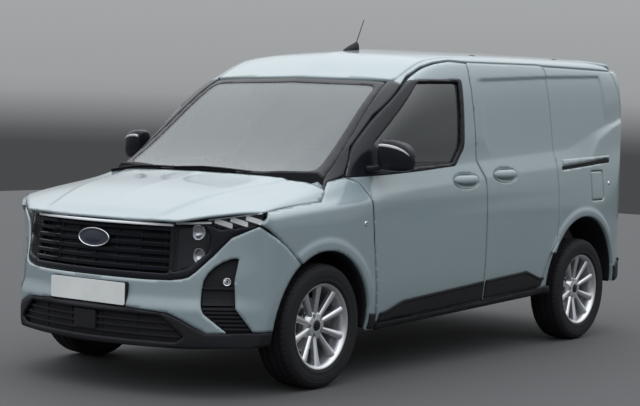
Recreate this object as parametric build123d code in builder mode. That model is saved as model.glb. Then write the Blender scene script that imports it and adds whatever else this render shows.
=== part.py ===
from build123d import *
import os

# Compact panel van, in millimetres. +Z is up, the front faces -Y and +X is the van's own left side.
# The origin is on the ground, under the middle of the bodywork.

# Driving sizes of the whole van
LENGTH = 4337.0
HALF_LENGTH = LENGTH / 2
FRONT_AXLE_Y = -1333.0
REAR_AXLE_Y = 1359.0
AXLE_Z = 321.0
TRACK = 1550.0
TYRE_RADIUS = 321.0
TYRE_WIDTH = 205.0
RIM_RADIUS = 218.0
RIM_WIDTH = 178.0
SIDE_GAP = 5.0
FACE_GAP = 0.6
PIN_CLEARANCE = 0.3

# Walls
SIDE_WALL = 65.0
ROOF_WALL = 35.0
WING_WALL = 45.0
BONNET_WALL = 22.0
GLASS_WALL = 5.0
REAR_WALL = 60.0

# Wheel arches: centre along the van, centre height and radius
FRONT_ARCH = (-1338.0, 318.0, 392.0)
REAR_ARCH = (1356.0, 372.0, 417.0)

# Cross-sections of the body above its waist, one row a station, each half from side to crown:
# station y, then (x, z) of the waist, lower shoulder, shoulder, belt, rail, roof edge and crown
WAIST_Z = 800.0
STATIONS = [
    (-2160.0, (893, 800), (893, 812), (880, 818), (800, 824), (650, 830), (450, 836), (0, 842)),
    (-2050.0, (893, 800), (893, 832), (880, 842), (800, 856), (650, 868), (450, 878), (0, 886)),
    (-1771.0, (893, 800), (887, 880), (850, 915), (815, 928), (650, 954), (450, 972), (0, 985)),
    (-1300.0, (893, 800), (884, 915), (835, 962), (800, 1002), (700, 1040), (450, 1068), (0, 1080)),
    (-463.0, (893, 800), (884, 950), (866, 1045), (845, 1145), (735, 1555), (650, 1592), (0, 1622)),
    (-130.0, (893, 800), (884, 950), (866, 1048), (845, 1148), (724, 1668), (662, 1720), (0, 1767)),
    (200.0, (893, 800), (884, 950), (866, 1050), (845, 1150), (720, 1702), (665, 1748), (0, 1797)),
    (1030.0, (893, 800), (884, 950), (866, 1060), (845, 1165), (722, 1736), (660, 1768), (0, 1815)),
    (1700.0, (893, 800), (880, 950), (862, 1070), (840, 1175), (716, 1746), (655, 1775), (0, 1827)),
    (2150.0, (880, 800), (868, 950), (850, 1070), (826, 1175), (700, 1715), (640, 1745), (0, 1800)),
]

# Foot of each cross-section, inside the lower body so that the two are one
ROOT_X = 840.0
ROOT_Z = 680.0

# Half widths of the side below the waist: height, half width
LOWER_SIDE = [(225.0, 835.0), (330.0, 866.0), (560.0, 889.0), (WAIST_Z, 893.0)]

# Side view limits of the body: underside and rear face, as (y, z)
UNDERSIDE = [(-1750, 235), (-840, 258), (875, 324), (1780, 370), (2140, 370)]
REAR_FACE = [(2140, 370), (2134, 1000), (2110, 1250), (2000, 1900)]
FRONT_FACE = [(-2080, 1900), (-2080, 905), (-2100, 872), (-2200, 700), (-2200, 230)]

# How far the nose leans back from its foremost line: height, distance
NOSE_LEAN = [(0.0, 12.0), (300.0, 0.0), (420.0, 0.0), (600.0, 30.0), (870.0, 64.0), (1000.0, 120.0),
             (2000.0, 120.0)]


def side_prism(outline, x_low, x_high, mode=Mode.ADD):
    """Carry a side view outline of (y, z) points across the van."""
    with BuildSketch(Plane.YZ.offset(x_low)) as profile:
        with BuildLine():
            Polyline(*outline, close=True)
        make_face()
    extrude(profile.sketch, amount=x_high - x_low, mode=mode)


def front_prism(outline, y_low, y_high, mode=Mode.ADD):
    """Carry a front view outline of (x, z) points along the van."""
    with BuildSketch(Plane.XZ.offset(-y_high)) as profile:
        with BuildLine():
            Polyline(*outline, close=True)
        make_face()
    extrude(profile.sketch, amount=y_high - y_low, mode=mode)


def plan_prism(outline, z_low, z_high, mode=Mode.ADD):
    """Carry a plan outline of (x, y) points up from z_low to z_high."""
    with BuildSketch(Plane.XY.offset(z_low)) as profile:
        with BuildLine():
            Polyline(*outline, close=True)
        make_face()
    extrude(profile.sketch, amount=z_high - z_low, mode=mode)


def block(low, high, mode=Mode.ADD):
    """A box from its lowest to its highest corner."""
    size = [top - bottom for bottom, top in zip(low, high)]
    with Locations(tuple(low)):
        Box(*size, align=(Align.MIN, Align.MIN, Align.MIN), mode=mode)


def cross_cylinder(y, z, radius, x_low, x_high, mode=Mode.ADD):
    """A cylinder whose axis runs across the van."""
    with BuildSketch(Plane.YZ.offset(x_low)) as profile:
        with Locations((y, z)):
            Circle(radius)
    extrude(profile.sketch, amount=x_high - x_low, mode=mode)


def lengthwise_cylinder(x, z, radius, y_low, y_high, mode=Mode.ADD):
    """A cylinder whose axis runs along the van."""
    with BuildSketch(Plane.XZ.offset(-y_high)) as profile:
        with Locations((x, z)):
            Circle(radius)
    extrude(profile.sketch, amount=y_high - y_low, mode=mode)


def upright_cylinder(x, y, radius, z_low, z_high, mode=Mode.ADD):
    """A cylinder whose axis stands upright."""
    with BuildSketch(Plane.XY.offset(z_low)) as profile:
        with Locations((x, y)):
            Circle(radius)
    extrude(profile.sketch, amount=z_high - z_low, mode=mode)


def grown(outline, margin):
    """Move each edge of an anticlockwise outline outwards by margin."""
    points = []
    for index, here in enumerate(outline):
        before = outline[index - 1]
        after = outline[(index + 1) % len(outline)]
        into = Vector(here[0] - before[0], here[1] - before[1]).normalized()
        out = Vector(after[0] - here[0], after[1] - here[1]).normalized()
        normal = Vector(into.Y, -into.X) + Vector(out.Y, -out.X)
        step = normal * (2 * margin / normal.dot(normal))
        points.append((here[0] + step.X, here[1] + step.Y))
    return points


def two_sided(half):
    """Close a half outline of (x, y) points by its mirror image across x = 0."""
    return half + [(-x, y) for x, y in reversed(half) if x > 0]


def body_form(side_inset, top_inset, end_inset):
    """The van's outer form, or the same form drawn in by a wall."""
    with BuildPart() as form:
        for y, *half in STATIONS:
            root = [(ROOT_X - side_inset, ROOT_Z)]
            top = root + [(x - side_inset if x else 0, z - (top_inset if n > 3 else 0))
                          for n, (x, z) in enumerate(half)]
            with BuildSketch(Plane.XZ.offset(-y)):
                with BuildLine():
                    Polyline(*two_sided(top), close=True)
                make_face()
        loft(ruled=True)
        lower = [(x - side_inset, z) for z, x in LOWER_SIDE]
        front_prism(two_sided(lower), -HALF_LENGTH, HALF_LENGTH)
        plans = []
        for z, lean in NOSE_LEAN:
            with BuildSketch(Plane.XY.offset(z)) as plan:
                with BuildLine():
                    nose_y = -HALF_LENGTH + end_inset + lean
                    tail_y = 2140.0 - end_inset
                    corner = 0.75 * end_inset
                    front = ThreePointArc((0, nose_y), (300, nose_y + 31), (600 - corner, nose_y + 124))
                    wing = Line(front @ 1, (862 - corner, -1806 + corner))
                    bend = ThreePointArc(wing @ 1, (888 - corner, -1768 + corner), (900 - side_inset, -1700))
                    side = Line(bend @ 1, (900 - side_inset, 1450))
                    tail = Line(side @ 1, (868 - side_inset, 1815))
                    back = ThreePointArc(tail @ 1, (815 - corner, 1945 - corner),
                                         (715 - corner, 2085 - corner))
                    ThreePointArc(back @ 1, (350, tail_y - 12), (0, tail_y))
                    mirror(about=Plane.YZ)
                make_face()
            plans.append(plan.sketch)
        loft(plans, ruled=True, mode=Mode.INTERSECT)
        rear_face = [(y - end_inset, z) for y, z in REAR_FACE]
        front_face = [(y + end_inset, z) for y, z in FRONT_FACE]
        underside = [(y, z - end_inset) for y, z in UNDERSIDE[:-1]]
        outline = underside + [(rear_face[0][0], underside[-1][1])] + rear_face[1:] + front_face
        side_prism(outline, -1000, 1000, mode=Mode.INTERSECT)
    return form.part


# The whole van's outside, the cab and load space inside it, and the space inside the nose
outer = body_form(0.0, 0.0, 0.0)
inner = body_form(SIDE_WALL, ROOF_WALL, REAR_WALL)
nose_inner = body_form(WING_WALL, BONNET_WALL, WING_WALL)

with BuildPart() as cabin_shell:
    add(outer)
    add(inner, mode=Mode.SUBTRACT)

with BuildPart() as nose_shell:
    add(outer)
    add(nose_inner, mode=Mode.SUBTRACT)


def save(part, name):
    """Label a finished piece and write it as its own STEP file."""
    part.label = name
    export_step(part, "parts/" + name + ".step")


def save_pair(part, name):
    """Write the left piece, and its mirror image for the right side."""
    save(part, name + "_left")
    save(mirror(part, about=Plane.YZ), name + "_right")


os.makedirs("parts", exist_ok=True)

# Wheels: tyre section as (x from the wheel's middle, radius)
TYRE_HALF = TYRE_WIDTH / 2
STUB_RADIUS = 22.0
HUB_RADIUS = 62.0
DISC_RADIUS = 140.0
SPOKE_PAIRS = 5
SPOKE_WIDTH = 34.0
SPOKE_SPLAY = 16.5
WHEEL_FACE = 62.0
BOLT_COUNT = 5
BOLT_CIRCLE = 54.0
BOLT_POCKET = 11.0

with BuildPart() as tyre:
    with BuildSketch(Plane.XY):
        with BuildLine():
            bead = Line((-TYRE_HALF + 12, RIM_RADIUS), (-TYRE_HALF + 3, RIM_RADIUS + 14))
            wall = ThreePointArc(bead @ 1, (-TYRE_HALF, RIM_RADIUS + 48),
                                 (-TYRE_HALF + 10, TYRE_RADIUS - 22))
            shoulder = ThreePointArc(wall @ 1, (-TYRE_HALF + 17, TYRE_RADIUS - 8),
                                     (-TYRE_HALF + 32, TYRE_RADIUS - 2))
            tread = ThreePointArc(shoulder @ 1, (0, TYRE_RADIUS), (TYRE_HALF - 32, TYRE_RADIUS - 2))
            ThreePointArc(tread @ 1, (TYRE_HALF - 17, TYRE_RADIUS - 8), (TYRE_HALF - 10, TYRE_RADIUS - 22))
            ThreePointArc((TYRE_HALF - 10, TYRE_RADIUS - 22), (TYRE_HALF, RIM_RADIUS + 48),
                          (TYRE_HALF - 3, RIM_RADIUS + 14))
            Line((TYRE_HALF - 3, RIM_RADIUS + 14), (TYRE_HALF - 12, RIM_RADIUS))
            Line((TYRE_HALF - 12, RIM_RADIUS), (-TYRE_HALF + 12, RIM_RADIUS))
        make_face()
    revolve(axis=Axis.X)

with BuildPart() as wheel:
    with BuildSketch(Plane.XY):
        with BuildLine():
            Polyline((-RIM_WIDTH / 2, RIM_RADIUS - 0.3), (RIM_WIDTH / 2, RIM_RADIUS - 0.3),
                     (RIM_WIDTH / 2, RIM_RADIUS - 14), (40, RIM_RADIUS - 24),
                     (-RIM_WIDTH / 2, RIM_RADIUS - 16),
                     close=True)
        make_face()
    revolve(axis=Axis.X)
    cross_cylinder(0, 0, HUB_RADIUS, 20, WHEEL_FACE)
    cross_cylinder(0, 0, 75, -40, 30)
    cross_cylinder(0, 0, DISC_RADIUS, -40, -18)
    for index in range(SPOKE_PAIRS):
        for splay in (-SPOKE_SPLAY, SPOKE_SPLAY):
            with BuildSketch(Plane.YZ.offset(30)) as spoke:
                with Locations(Rotation(0, 0, 36 + 360 / SPOKE_PAIRS * index + splay)):
                    with Locations(((HUB_RADIUS + RIM_RADIUS) / 2 - 18, 0)):
                        Rectangle(RIM_RADIUS - HUB_RADIUS + 12, SPOKE_WIDTH)
            extrude(spoke.sketch, amount=WHEEL_FACE - 34)
    cross_cylinder(0, 0, STUB_RADIUS + PIN_CLEARANCE, -60, WHEEL_FACE - 12, mode=Mode.SUBTRACT)
    with BuildSketch(Plane.YZ.offset(WHEEL_FACE - 20)) as pockets:
        with PolarLocations(BOLT_CIRCLE, BOLT_COUNT, start_angle=36):
            Circle(BOLT_POCKET)
    extrude(pockets.sketch, amount=20, mode=Mode.SUBTRACT)

WHEELS = [("front_left", TRACK / 2, FRONT_AXLE_Y), ("front_right", -TRACK / 2, FRONT_AXLE_Y),
          ("rear_left", TRACK / 2, REAR_AXLE_Y), ("rear_right", -TRACK / 2, REAR_AXLE_Y)]
for name, x, y in WHEELS:
    turn = Rotation(0, 0, 0) if x > 0 else Rotation(0, 0, 180)
    place = Location((x, y, AXLE_Z)) * turn
    save(tyre.part.moved(place), "tyre_" + name)
    save(wheel.part.moved(place), "wheel_" + name)

# Openings in the body side, as (y, z, x of the skin there, lean of the shut face along y per mm of x)
REAR_LEAN = 0.29
DOOR_INNER_X = 666.0
FRONT_DOOR = [
    (-855, 300, 862, 0), (185, 338, 868, REAR_LEAN), (187, 1040, 868, REAR_LEAN),
    (137, 1144, 845, REAR_LEAN), (161, 1618, 742, REAR_LEAN), (182, 1716, 705, REAR_LEAN),
    (24, 1716, 700, 0), (-132, 1700, 700, 0), (-250, 1672, 700, 0), (-377, 1618, 705, 0),
    (-489, 1552, 735, 0), (-730, 1396, 775, 0), (-947, 1225, 800, 0), (-1066, 1076, 820, 0),
    (-978, 1040, 850, 0), (-943, 970, 870, 0), (-926, 748, 890, 0), (-865, 338, 868, 0),
]
DOOR_WINDOW = [(-950, 1122), (-97, 1146), (3, 1236), (43, 1600), (-340, 1585)]
SIDE_DOOR = [
    (60, 345), (845, 378), (880, 470), (935, 575), (1003, 640), (1020, 760), (1030, 1150),
    (1034, 1433), (1032, 1700), (1021, 1728), (60, 1716),
]
RAIL_SLOT = [(1088, 1083), (1722, 1127), (1722, 1151), (1088, 1107)]
FUEL_FLAP = [(1453, 884), (1600, 884), (1617, 900), (1617, 1075), (1453, 1075)]


def leaning_prism(rows, margin, mode=Mode.ADD):
    """Carry a door's outline across the side, leaning where its shut face leans."""
    faces = []
    for x_plane in (DOOR_INNER_X, 960.0):
        outline = grown([(y + lean * (x_plane - x), z) for y, z, x, lean in rows], margin)
        with BuildSketch(Plane.YZ.offset(x_plane)) as profile:
            with BuildLine():
                Polyline(*outline, close=True)
            make_face()
        faces.append(profile.sketch)
    loft(faces, ruled=True, mode=mode)


# Hinges of the front doors: two pins on arms from the hinge post
HINGE_X = 868.0
HINGE_Y = -835.0
HINGE_PIN = 8.0
HINGE_LEVELS = (450.0, 830.0)
HINGE_ROOTS = ((-940.0, -905.0), (-1010.0, -960.0))
ARM_HALF_HEIGHT = 22.0
POST = (770.0, 830.0)

with BuildPart() as front_door:
    add(cabin_shell.part)
    leaning_prism(FRONT_DOOR, -SIDE_GAP, mode=Mode.INTERSECT)
    block((DOOR_INNER_X + SIDE_GAP, -1200, 200), (1000, 400, 1800), mode=Mode.INTERSECT)
    side_prism(DOOR_WINDOW, 500, 1000, mode=Mode.SUBTRACT)
    for z in HINGE_LEVELS:
        upright_cylinder(HINGE_X, HINGE_Y, HINGE_PIN + PIN_CLEARANCE, z - 45, z + 45, mode=Mode.SUBTRACT)
        block((700, -1000, z - ARM_HALF_HEIGHT - 6), (HINGE_X + 12, HINGE_Y + 16, z + ARM_HALF_HEIGHT + 6),
              mode=Mode.SUBTRACT)
    block((858, -150, 1036), (884, 100, 1070))
save_pair(front_door.part, "front_door")

GLASS_DEPTH = 6.0
REAR_PIN = (724.0, 2112.0, 8.0)
REAR_HINGE_LEVELS = (680.0, 1400.0)
FLAP_PIN = 2.5
FLAP_PLANE = Plane(origin=(868, 1474, 980), z_dir=(-0.12, 0, 1))
with BuildPart() as door_glass:
    add(outer.moved(Location((-GLASS_DEPTH, 0, 0))))
    add(outer.moved(Location((-GLASS_DEPTH - GLASS_WALL, 0, 0))), mode=Mode.SUBTRACT)
    side_prism(grown(DOOR_WINDOW, -PIN_CLEARANCE), 500, 1000, mode=Mode.INTERSECT)
save_pair(door_glass.part, "door_glass")

with BuildPart() as mirror_head:
    plan_prism([(905, -905), (1000, -872), (1020, -800), (1010, -768), (860, -790), (850, -880)], 1128, 1270)
    plan_prism([(760, -900), (880, -900), (880, -800), (760, -800)], 1084, 1118)
    plan_prism([(860, -890), (920, -890), (920, -800), (860, -800)], 1084, 1140)
    add(outer.moved(Location((PIN_CLEARANCE, 0, 0))), mode=Mode.SUBTRACT)
save_pair(mirror_head.part, "mirror")

# The pressed side of the body, with its pillars, sill and rear quarter
ROOF_SEAM_X = 655.0
BODY_SIDE = [
    (-1240, 1020), (-1066, 1070), (-978, 1041), (-800, 1000), (-800, 400), (-858, 299), (-880, 200),
    (1790, 200), (1790, 560),
    (2200, 560), (2200, 1900), (-600, 1900),
]
POST_OUTLINE = [(-1066, 1069), (-1066, 600), (-935, 300), (-920, 270), (-800, 270), (-800, 1060)]
SCREEN = [(0, -1290), (400, -1272), (742, -1196), (622, -480), (0, -480)]
TAIL_LAMP = (712.0, 960.0, 880.0, 1330.0)
REAR_OPENING = [(0, 560), (706, 560), (706, 1660), (640, 1712), (0, 1712)]

with BuildPart() as body_side:
    add(cabin_shell.part)
    side_prism(BODY_SIDE, ROOF_SEAM_X, 1000, mode=Mode.INTERSECT)
    plan_prism(grown(SCREEN, FACE_GAP), 1030, 1700, mode=Mode.SUBTRACT)
    side_prism(POST_OUTLINE, POST[0], POST[1])
    cross_cylinder(FRONT_ARCH[0], FRONT_ARCH[1], FRONT_ARCH[2] + 8, 500, 1000, mode=Mode.SUBTRACT)
    leaning_prism(FRONT_DOOR, 0.0, mode=Mode.SUBTRACT)
    for z, (root_low, root_high) in zip(HINGE_LEVELS, HINGE_ROOTS):
        block((740, HINGE_Y - 10, z - ARM_HALF_HEIGHT), (HINGE_X, HINGE_Y + 10, z + ARM_HALF_HEIGHT))
        block((740, root_low, z - ARM_HALF_HEIGHT), (768, HINGE_Y + 10, z + ARM_HALF_HEIGHT))
        block((740, root_low, z - ARM_HALF_HEIGHT), (800, root_high, z + ARM_HALF_HEIGHT))
        upright_cylinder(HINGE_X, HINGE_Y, HINGE_PIN, z - 44, z + 44)
    side_prism(grown(SIDE_DOOR, FACE_GAP), 500, 1000, mode=Mode.SUBTRACT)
    cross_cylinder(REAR_ARCH[0], REAR_ARCH[1], REAR_ARCH[2], 500, 1000, mode=Mode.SUBTRACT)
    side_prism(RAIL_SLOT, 838, 1000, mode=Mode.SUBTRACT)
    side_prism(FUEL_FLAP, 832, 1000, mode=Mode.SUBTRACT)
    block((TAIL_LAMP[0], 1990, TAIL_LAMP[2]), (TAIL_LAMP[1], 2200, TAIL_LAMP[3]), mode=Mode.SUBTRACT)
    front_prism(REAR_OPENING, 1940, 2200, mode=Mode.SUBTRACT)
    for z in REAR_HINGE_LEVELS:
        for low in (z + 25.3, z - 43.3):
            block((711, 2040, low), (745, 2121, low + 18))
        upright_cylinder(REAR_PIN[0], REAR_PIN[1], REAR_PIN[2], z - 40, z + 40)
    with BuildSketch(FLAP_PLANE) as flap_pin:
        Circle(FLAP_PIN)
    extrude(flap_pin.sketch, amount=102, both=True)
save_pair(body_side.part, "body_side")

# Side loading door: a fixed panel here, with its rail in the slot behind it
with BuildPart() as side_door:
    add(cabin_shell.part)
    side_prism(SIDE_DOOR, ROOF_SEAM_X, 1000, mode=Mode.INTERSECT)
    leaning_prism(FRONT_DOOR, 0.0, mode=Mode.SUBTRACT)
    cross_cylinder(REAR_ARCH[0], REAR_ARCH[1], REAR_ARCH[2], 500, 1000, mode=Mode.SUBTRACT)
    block((858, 275, 1062), (884, 515, 1096))
    mirror(about=Plane.YZ)
save(side_door.part, "side_doors")

with BuildPart() as rails:
    side_prism(grown(RAIL_SLOT, -PIN_CLEARANCE), 838.3, 852)
    mirror(about=Plane.YZ)
save(rails.part, "slide_rails")

# Roof, from the top of the windscreen to the rear doors, with four threaded points for a roof rack
SCREEN_TOP_Y = -480.0 + FACE_GAP
RACK_X = 600.0
RACK_Y = (420.0, 1400.0)
RACK_SEAT_Z = 1750.0
RACK_POCKET = 16.0
RACK_HOLE = 4.0
with BuildPart() as roof:
    add(cabin_shell.part)
    plan_prism([(ROOF_SEAM_X - FACE_GAP, SCREEN_TOP_Y), (ROOF_SEAM_X - FACE_GAP, 2200),
                (-ROOF_SEAM_X + FACE_GAP, 2200), (-ROOF_SEAM_X + FACE_GAP, SCREEN_TOP_Y)],
               1500, 2000, mode=Mode.INTERSECT)
    front_prism(two_sided(REAR_OPENING), 1940, 2200, mode=Mode.SUBTRACT)
    for x in (-RACK_X, RACK_X):
        for y in RACK_Y:
            upright_cylinder(x, y, RACK_POCKET, RACK_SEAT_Z, 1900, mode=Mode.SUBTRACT)
            upright_cylinder(x, y, RACK_HOLE, 1650, RACK_SEAT_Z, mode=Mode.SUBTRACT)
save(roof.part, "roof_panel")

# Windscreen, bonded between the pillars
with BuildPart() as windscreen:
    add(outer)
    add(outer.moved(Location((0, GLASS_WALL * 0.6, -GLASS_WALL))), mode=Mode.SUBTRACT)
    plan_prism(two_sided(SCREEN), 1000, 1700, mode=Mode.INTERSECT)
save(windscreen.part, "windscreen")

# Bonnet, hinged at its rear on two pins under its corners
BONNET_HINGE = (-1390.0, 1022.0)
BONNET_PIN = 6.0
BONNET_LUG_X = 300.0
LUG_WIDTH = 20.0
BONNET = [(0, -2125), (344, -2075), (569, -1990), (760, -1850), (842, -1796), (846, -1771), (829, -1340),
          (800, -1262), (480, -1320), (0, -1340)]
BONNET_ROOM = [(0, -2200), (344, -2200), (349, -2082), (574, -1997), (765, -1856), (848, -1801),
               (852, -1771), (835, -1325), (790, -1200), (0, -1200)]

with BuildPart() as bonnet:
    add(outer)
    add(outer.moved(Location((0, 0, -BONNET_WALL))), mode=Mode.SUBTRACT)
    plan_prism(two_sided(BONNET), 870, 1300, mode=Mode.INTERSECT)
    lug_y, lug_z = BONNET_HINGE
    for side in (-1, 1):
        x = side * (BONNET_LUG_X + LUG_WIDTH / 2)
        block((x - LUG_WIDTH / 2, lug_y - 16, lug_z - 14), (x + LUG_WIDTH / 2, lug_y + 16, lug_z + 20))
        cross_cylinder(lug_y, lug_z, BONNET_PIN + PIN_CLEARANCE, x - 30, x + 30, mode=Mode.SUBTRACT)
save(bonnet.part, "bonnet")

HEADLAMP = [(480, 612), (572, 642), (636, 718), (672, 826), (726, 835), (827, 851), (853, 890), (862, 934),
            (760, 919), (602, 892), (483, 875), (472, 844)]

# Front wings, outside the bonnet and behind the bumper seam
BUMPER_SEAM = [(-1842, 866), (-1826, 852), (-1666, 743), (-1560, 662), (-1500, 600)]
WING = [(-1500, 200), (-882, 200), (-861, 297), (-800, 400), (-800, 998), (-978, 1038), (-1066, 1069),
        (-1240, 1019), (-1275, 1100), (-1900, 1100), (-1900, 925)] + BUMPER_SEAM

with BuildPart() as wing:
    add(nose_shell.part)
    side_prism(WING, 500, 1000, mode=Mode.INTERSECT)
    plan_prism(two_sided(BONNET_ROOM), 860, 1300, mode=Mode.SUBTRACT)
    leaning_prism(FRONT_DOOR, 0.0, mode=Mode.SUBTRACT)
    cross_cylinder(FRONT_ARCH[0], FRONT_ARCH[1], FRONT_ARCH[2], 400, 1000, mode=Mode.SUBTRACT)
    front_prism(grown(HEADLAMP, FACE_GAP), -2300, -1740, mode=Mode.SUBTRACT)
    side_prism(POST_OUTLINE, POST[0] - FACE_GAP, POST[1] + FACE_GAP, mode=Mode.SUBTRACT)
    mirror(about=Plane.YZ)
save(wing.part, "front_wings")

# Nose: openings as front view outlines of (x, z)
GRILLE = [(0, 612), (469, 612), (460, 844), (0, 844)]
INTAKE = [(0, 272), (531, 270), (581, 302), (530, 339), (458, 402), (0, 404)]
SKIRT = [(0, 220), (900, 220), (900, 326), (654, 319), (559, 385), (488, 415), (266, 433), (0, 433)]
VENT = [(756, 690), (696, 670), (632, 584), (641, 443), (653, 419), (736, 332), (822, 332), (760, 446),
        (745, 583)]
PLATE_HALF = 260.0
PLATE_Y = -2140.0
PLATE_Z = (437.0, 548.0)

with BuildPart() as front_bumper:
    add(nose_shell.part)
    side_prism([(-2200, 200), (-1500, 200), (-1500, 600 - FACE_GAP)]
               + [(y, z - FACE_GAP) for y, z in reversed(BUMPER_SEAM[:-1])] + [(-2200, 866)],
               -1000, 1000, mode=Mode.INTERSECT)
    cross_cylinder(FRONT_ARCH[0], FRONT_ARCH[1], FRONT_ARCH[2], -1000, 1000, mode=Mode.SUBTRACT)
    for side in (-1, 1):
        for outline in (HEADLAMP, VENT):
            front_prism([(side * x, z) for x, z in outline], -2300, -1700, mode=Mode.SUBTRACT)
    front_prism(two_sided(GRILLE), -2300, -1900, mode=Mode.SUBTRACT)
    front_prism(two_sided(SKIRT), -2300, -1600, mode=Mode.SUBTRACT)
    block((-PLATE_HALF - 4, -2200, PLATE_Z[0] - 4), (PLATE_HALF + 4, PLATE_Y, PLATE_Z[1] + 8),
          mode=Mode.SUBTRACT)
save(front_bumper.part, "front_bumper")

with BuildPart() as bumper_skirt:
    add(nose_shell.part)
    front_prism(two_sided(SKIRT), -2300, -1600, mode=Mode.INTERSECT)
    cross_cylinder(FRONT_ARCH[0], FRONT_ARCH[1], FRONT_ARCH[2], -1000, 1000, mode=Mode.SUBTRACT)
    front_prism(two_sided(INTAKE), -2300, -1900, mode=Mode.SUBTRACT)
save(bumper_skirt.part, "bumper_skirt")


def recessed_slab(depth, thickness):
    """A slab that follows the nose, set back by a depth."""
    with BuildPart() as slab:
        add(outer.moved(Location((0, depth, 0))))
        add(outer.moved(Location((0, depth + thickness, 0))), mode=Mode.SUBTRACT)
    return slab.part


# Grille: bars at measured levels, one step lower outside the badge
BAR_LEVELS = (636.0, 676.0, 720.0, 769.0, 824.0)
BAR_HEIGHT = 20.0
BAR_STEP = 10.0
STEP_X = 290.0
SLOT_END = 440.0
with BuildPart() as grille:
    add(recessed_slab(14, 26))
    front_prism(two_sided(GRILLE), -2300, -1900, mode=Mode.INTERSECT)
    for lower, upper in zip(BAR_LEVELS, BAR_LEVELS[1:]):
        low = lower + BAR_HEIGHT / 2
        high = upper - BAR_HEIGHT / 2
        block((-STEP_X + 5, -2300, low), (STEP_X - 5, -1900, high), mode=Mode.SUBTRACT)
        for x in (-SLOT_END, STEP_X + 5):
            block((x, -2300, low - BAR_STEP), (x + SLOT_END - STEP_X - 5, -1900, high - BAR_STEP),
                  mode=Mode.SUBTRACT)
save(grille.part, "grille")

# Lower grille, open in the middle around the front towing eye's socket
INTAKE_SLOTS = (285.0, 329.0, 373.0)
SLOT_HEIGHT = 17.0
TOW_EYE = (336.0, -2140.0, 80.0)
TOW_RADIUS = 9.0

with BuildPart() as lower_grille:
    add(recessed_slab(22, 24))
    front_prism(two_sided(INTAKE), -2300, -1900, mode=Mode.INTERSECT)
    for low in INTAKE_SLOTS:
        for x in (-440, 50):
            block((x, -2300, low), (x + 390, -1900, low + SLOT_HEIGHT), mode=Mode.SUBTRACT)
    block((-30, -2300, TOW_EYE[0] - 30), (30, -1900, TOW_EYE[0] + 30), mode=Mode.SUBTRACT)
save(lower_grille.part, "lower_grille")

with BuildPart() as headlamps:
    add(nose_shell.part)
    front_prism(HEADLAMP, -2300, -1740, mode=Mode.INTERSECT)
    plan_prism(two_sided(BONNET_ROOM), 860, 1300, mode=Mode.SUBTRACT)
    mirror(about=Plane.YZ)
save(headlamps.part, "headlamps")

with BuildPart() as corner_vents:
    add(recessed_slab(16, 30))
    front_prism(VENT, -2300, -1700, mode=Mode.INTERSECT)
    mirror(about=Plane.YZ)
save(corner_vents.part, "corner_vents")

# Scuttle: a trough under the windscreen's foot
SCUTTLE_Z = 860.0
FIREWALL_Y = -1150.0
with BuildPart() as scuttle:
    block((-760, -1345, SCUTTLE_Z), (760, FIREWALL_Y - PIN_CLEARANCE, SCUTTLE_Z + 12))
    plan_prism(two_sided([(0, -1289), (400, -1271), (736, -1195), (736, -1183), (400, -1259), (0, -1277)]),
               SCUTTLE_Z, 1300)
    add(outer.moved(Location((0, 0, -GLASS_WALL - 3))), mode=Mode.INTERSECT)
    for side in (-1, 1):
        bracket = sorted((side * (BONNET_LUG_X + LUG_WIDTH + 3), side * (BONNET_LUG_X + LUG_WIDTH + 15)))
        block((bracket[0], lug_y - 12, SCUTTLE_Z), (bracket[1], -1330, 955))
        block((bracket[0], lug_y - 10, SCUTTLE_Z), (bracket[1], lug_y + 4, lug_z + 2))
        pin = sorted((side * (BONNET_LUG_X - 4), side * (BONNET_LUG_X + LUG_WIDTH + 10)))
        cross_cylinder(lug_y, lug_z, BONNET_PIN, pin[0], pin[1])
save(scuttle.part, "scuttle")

# Wipers: a post out of the scuttle and an arm with its blade along the foot of the glass
with BuildPart() as wipers:
    for x, reach in ((330, -560), (-210, -480)):
        upright_cylinder(x, -1302, 7, SCUTTLE_Z + 12.3, 1086)
        block((min(x, x + reach), -1309, 1086), (max(x, x + reach), -1295, 1098))
save(wipers.part, "wipers")

# Rear doors, hung at the corners, with their windows
REAR_SLAB = [(2072, 400), (2066, 1000), (2042, 1250), (1940, 1830), (2300, 1830), (2300, 400)]
REAR_DOOR = [(7, 566), (700, 566), (700, 1656), (636, 1706), (7, 1706)]
MEETING_EDGE = [(0, 1900), (24, 1900), (16, 2030), (7, 2125), (0, 2125)]
REAR_WINDOW = [(110, 1130), (600, 1130), (580, 1570), (110, 1570)]

with BuildPart() as rear_door:
    add(outer)
    side_prism(REAR_SLAB, -1000, 1000, mode=Mode.INTERSECT)
    front_prism(REAR_DOOR, 1900, 2300, mode=Mode.INTERSECT)
    front_prism(REAR_WINDOW, 1900, 2300, mode=Mode.SUBTRACT)
    plan_prism(MEETING_EDGE, 500, 1900, mode=Mode.SUBTRACT)
    for z in REAR_HINGE_LEVELS:
        block((600, 2060, z - 25), (699, 2121, z + 25))
        block((690, 2099, z - 25), (REAR_PIN[0], 2121, z + 25))
        upright_cylinder(REAR_PIN[0], REAR_PIN[1], 16, z - 25, z + 25)
        upright_cylinder(REAR_PIN[0], REAR_PIN[1], REAR_PIN[2] + PIN_CLEARANCE, z - 60, z + 60,
                         mode=Mode.SUBTRACT)
save_pair(rear_door.part, "rear_door")

with BuildPart() as rear_glass:
    add(outer.moved(Location((0, -6, 0))))
    add(outer.moved(Location((0, -6 - GLASS_WALL, 0))), mode=Mode.SUBTRACT)
    front_prism(grown(REAR_WINDOW, -PIN_CLEARANCE), 1900, 2300, mode=Mode.INTERSECT)
save_pair(rear_glass.part, "rear_glass")

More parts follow.
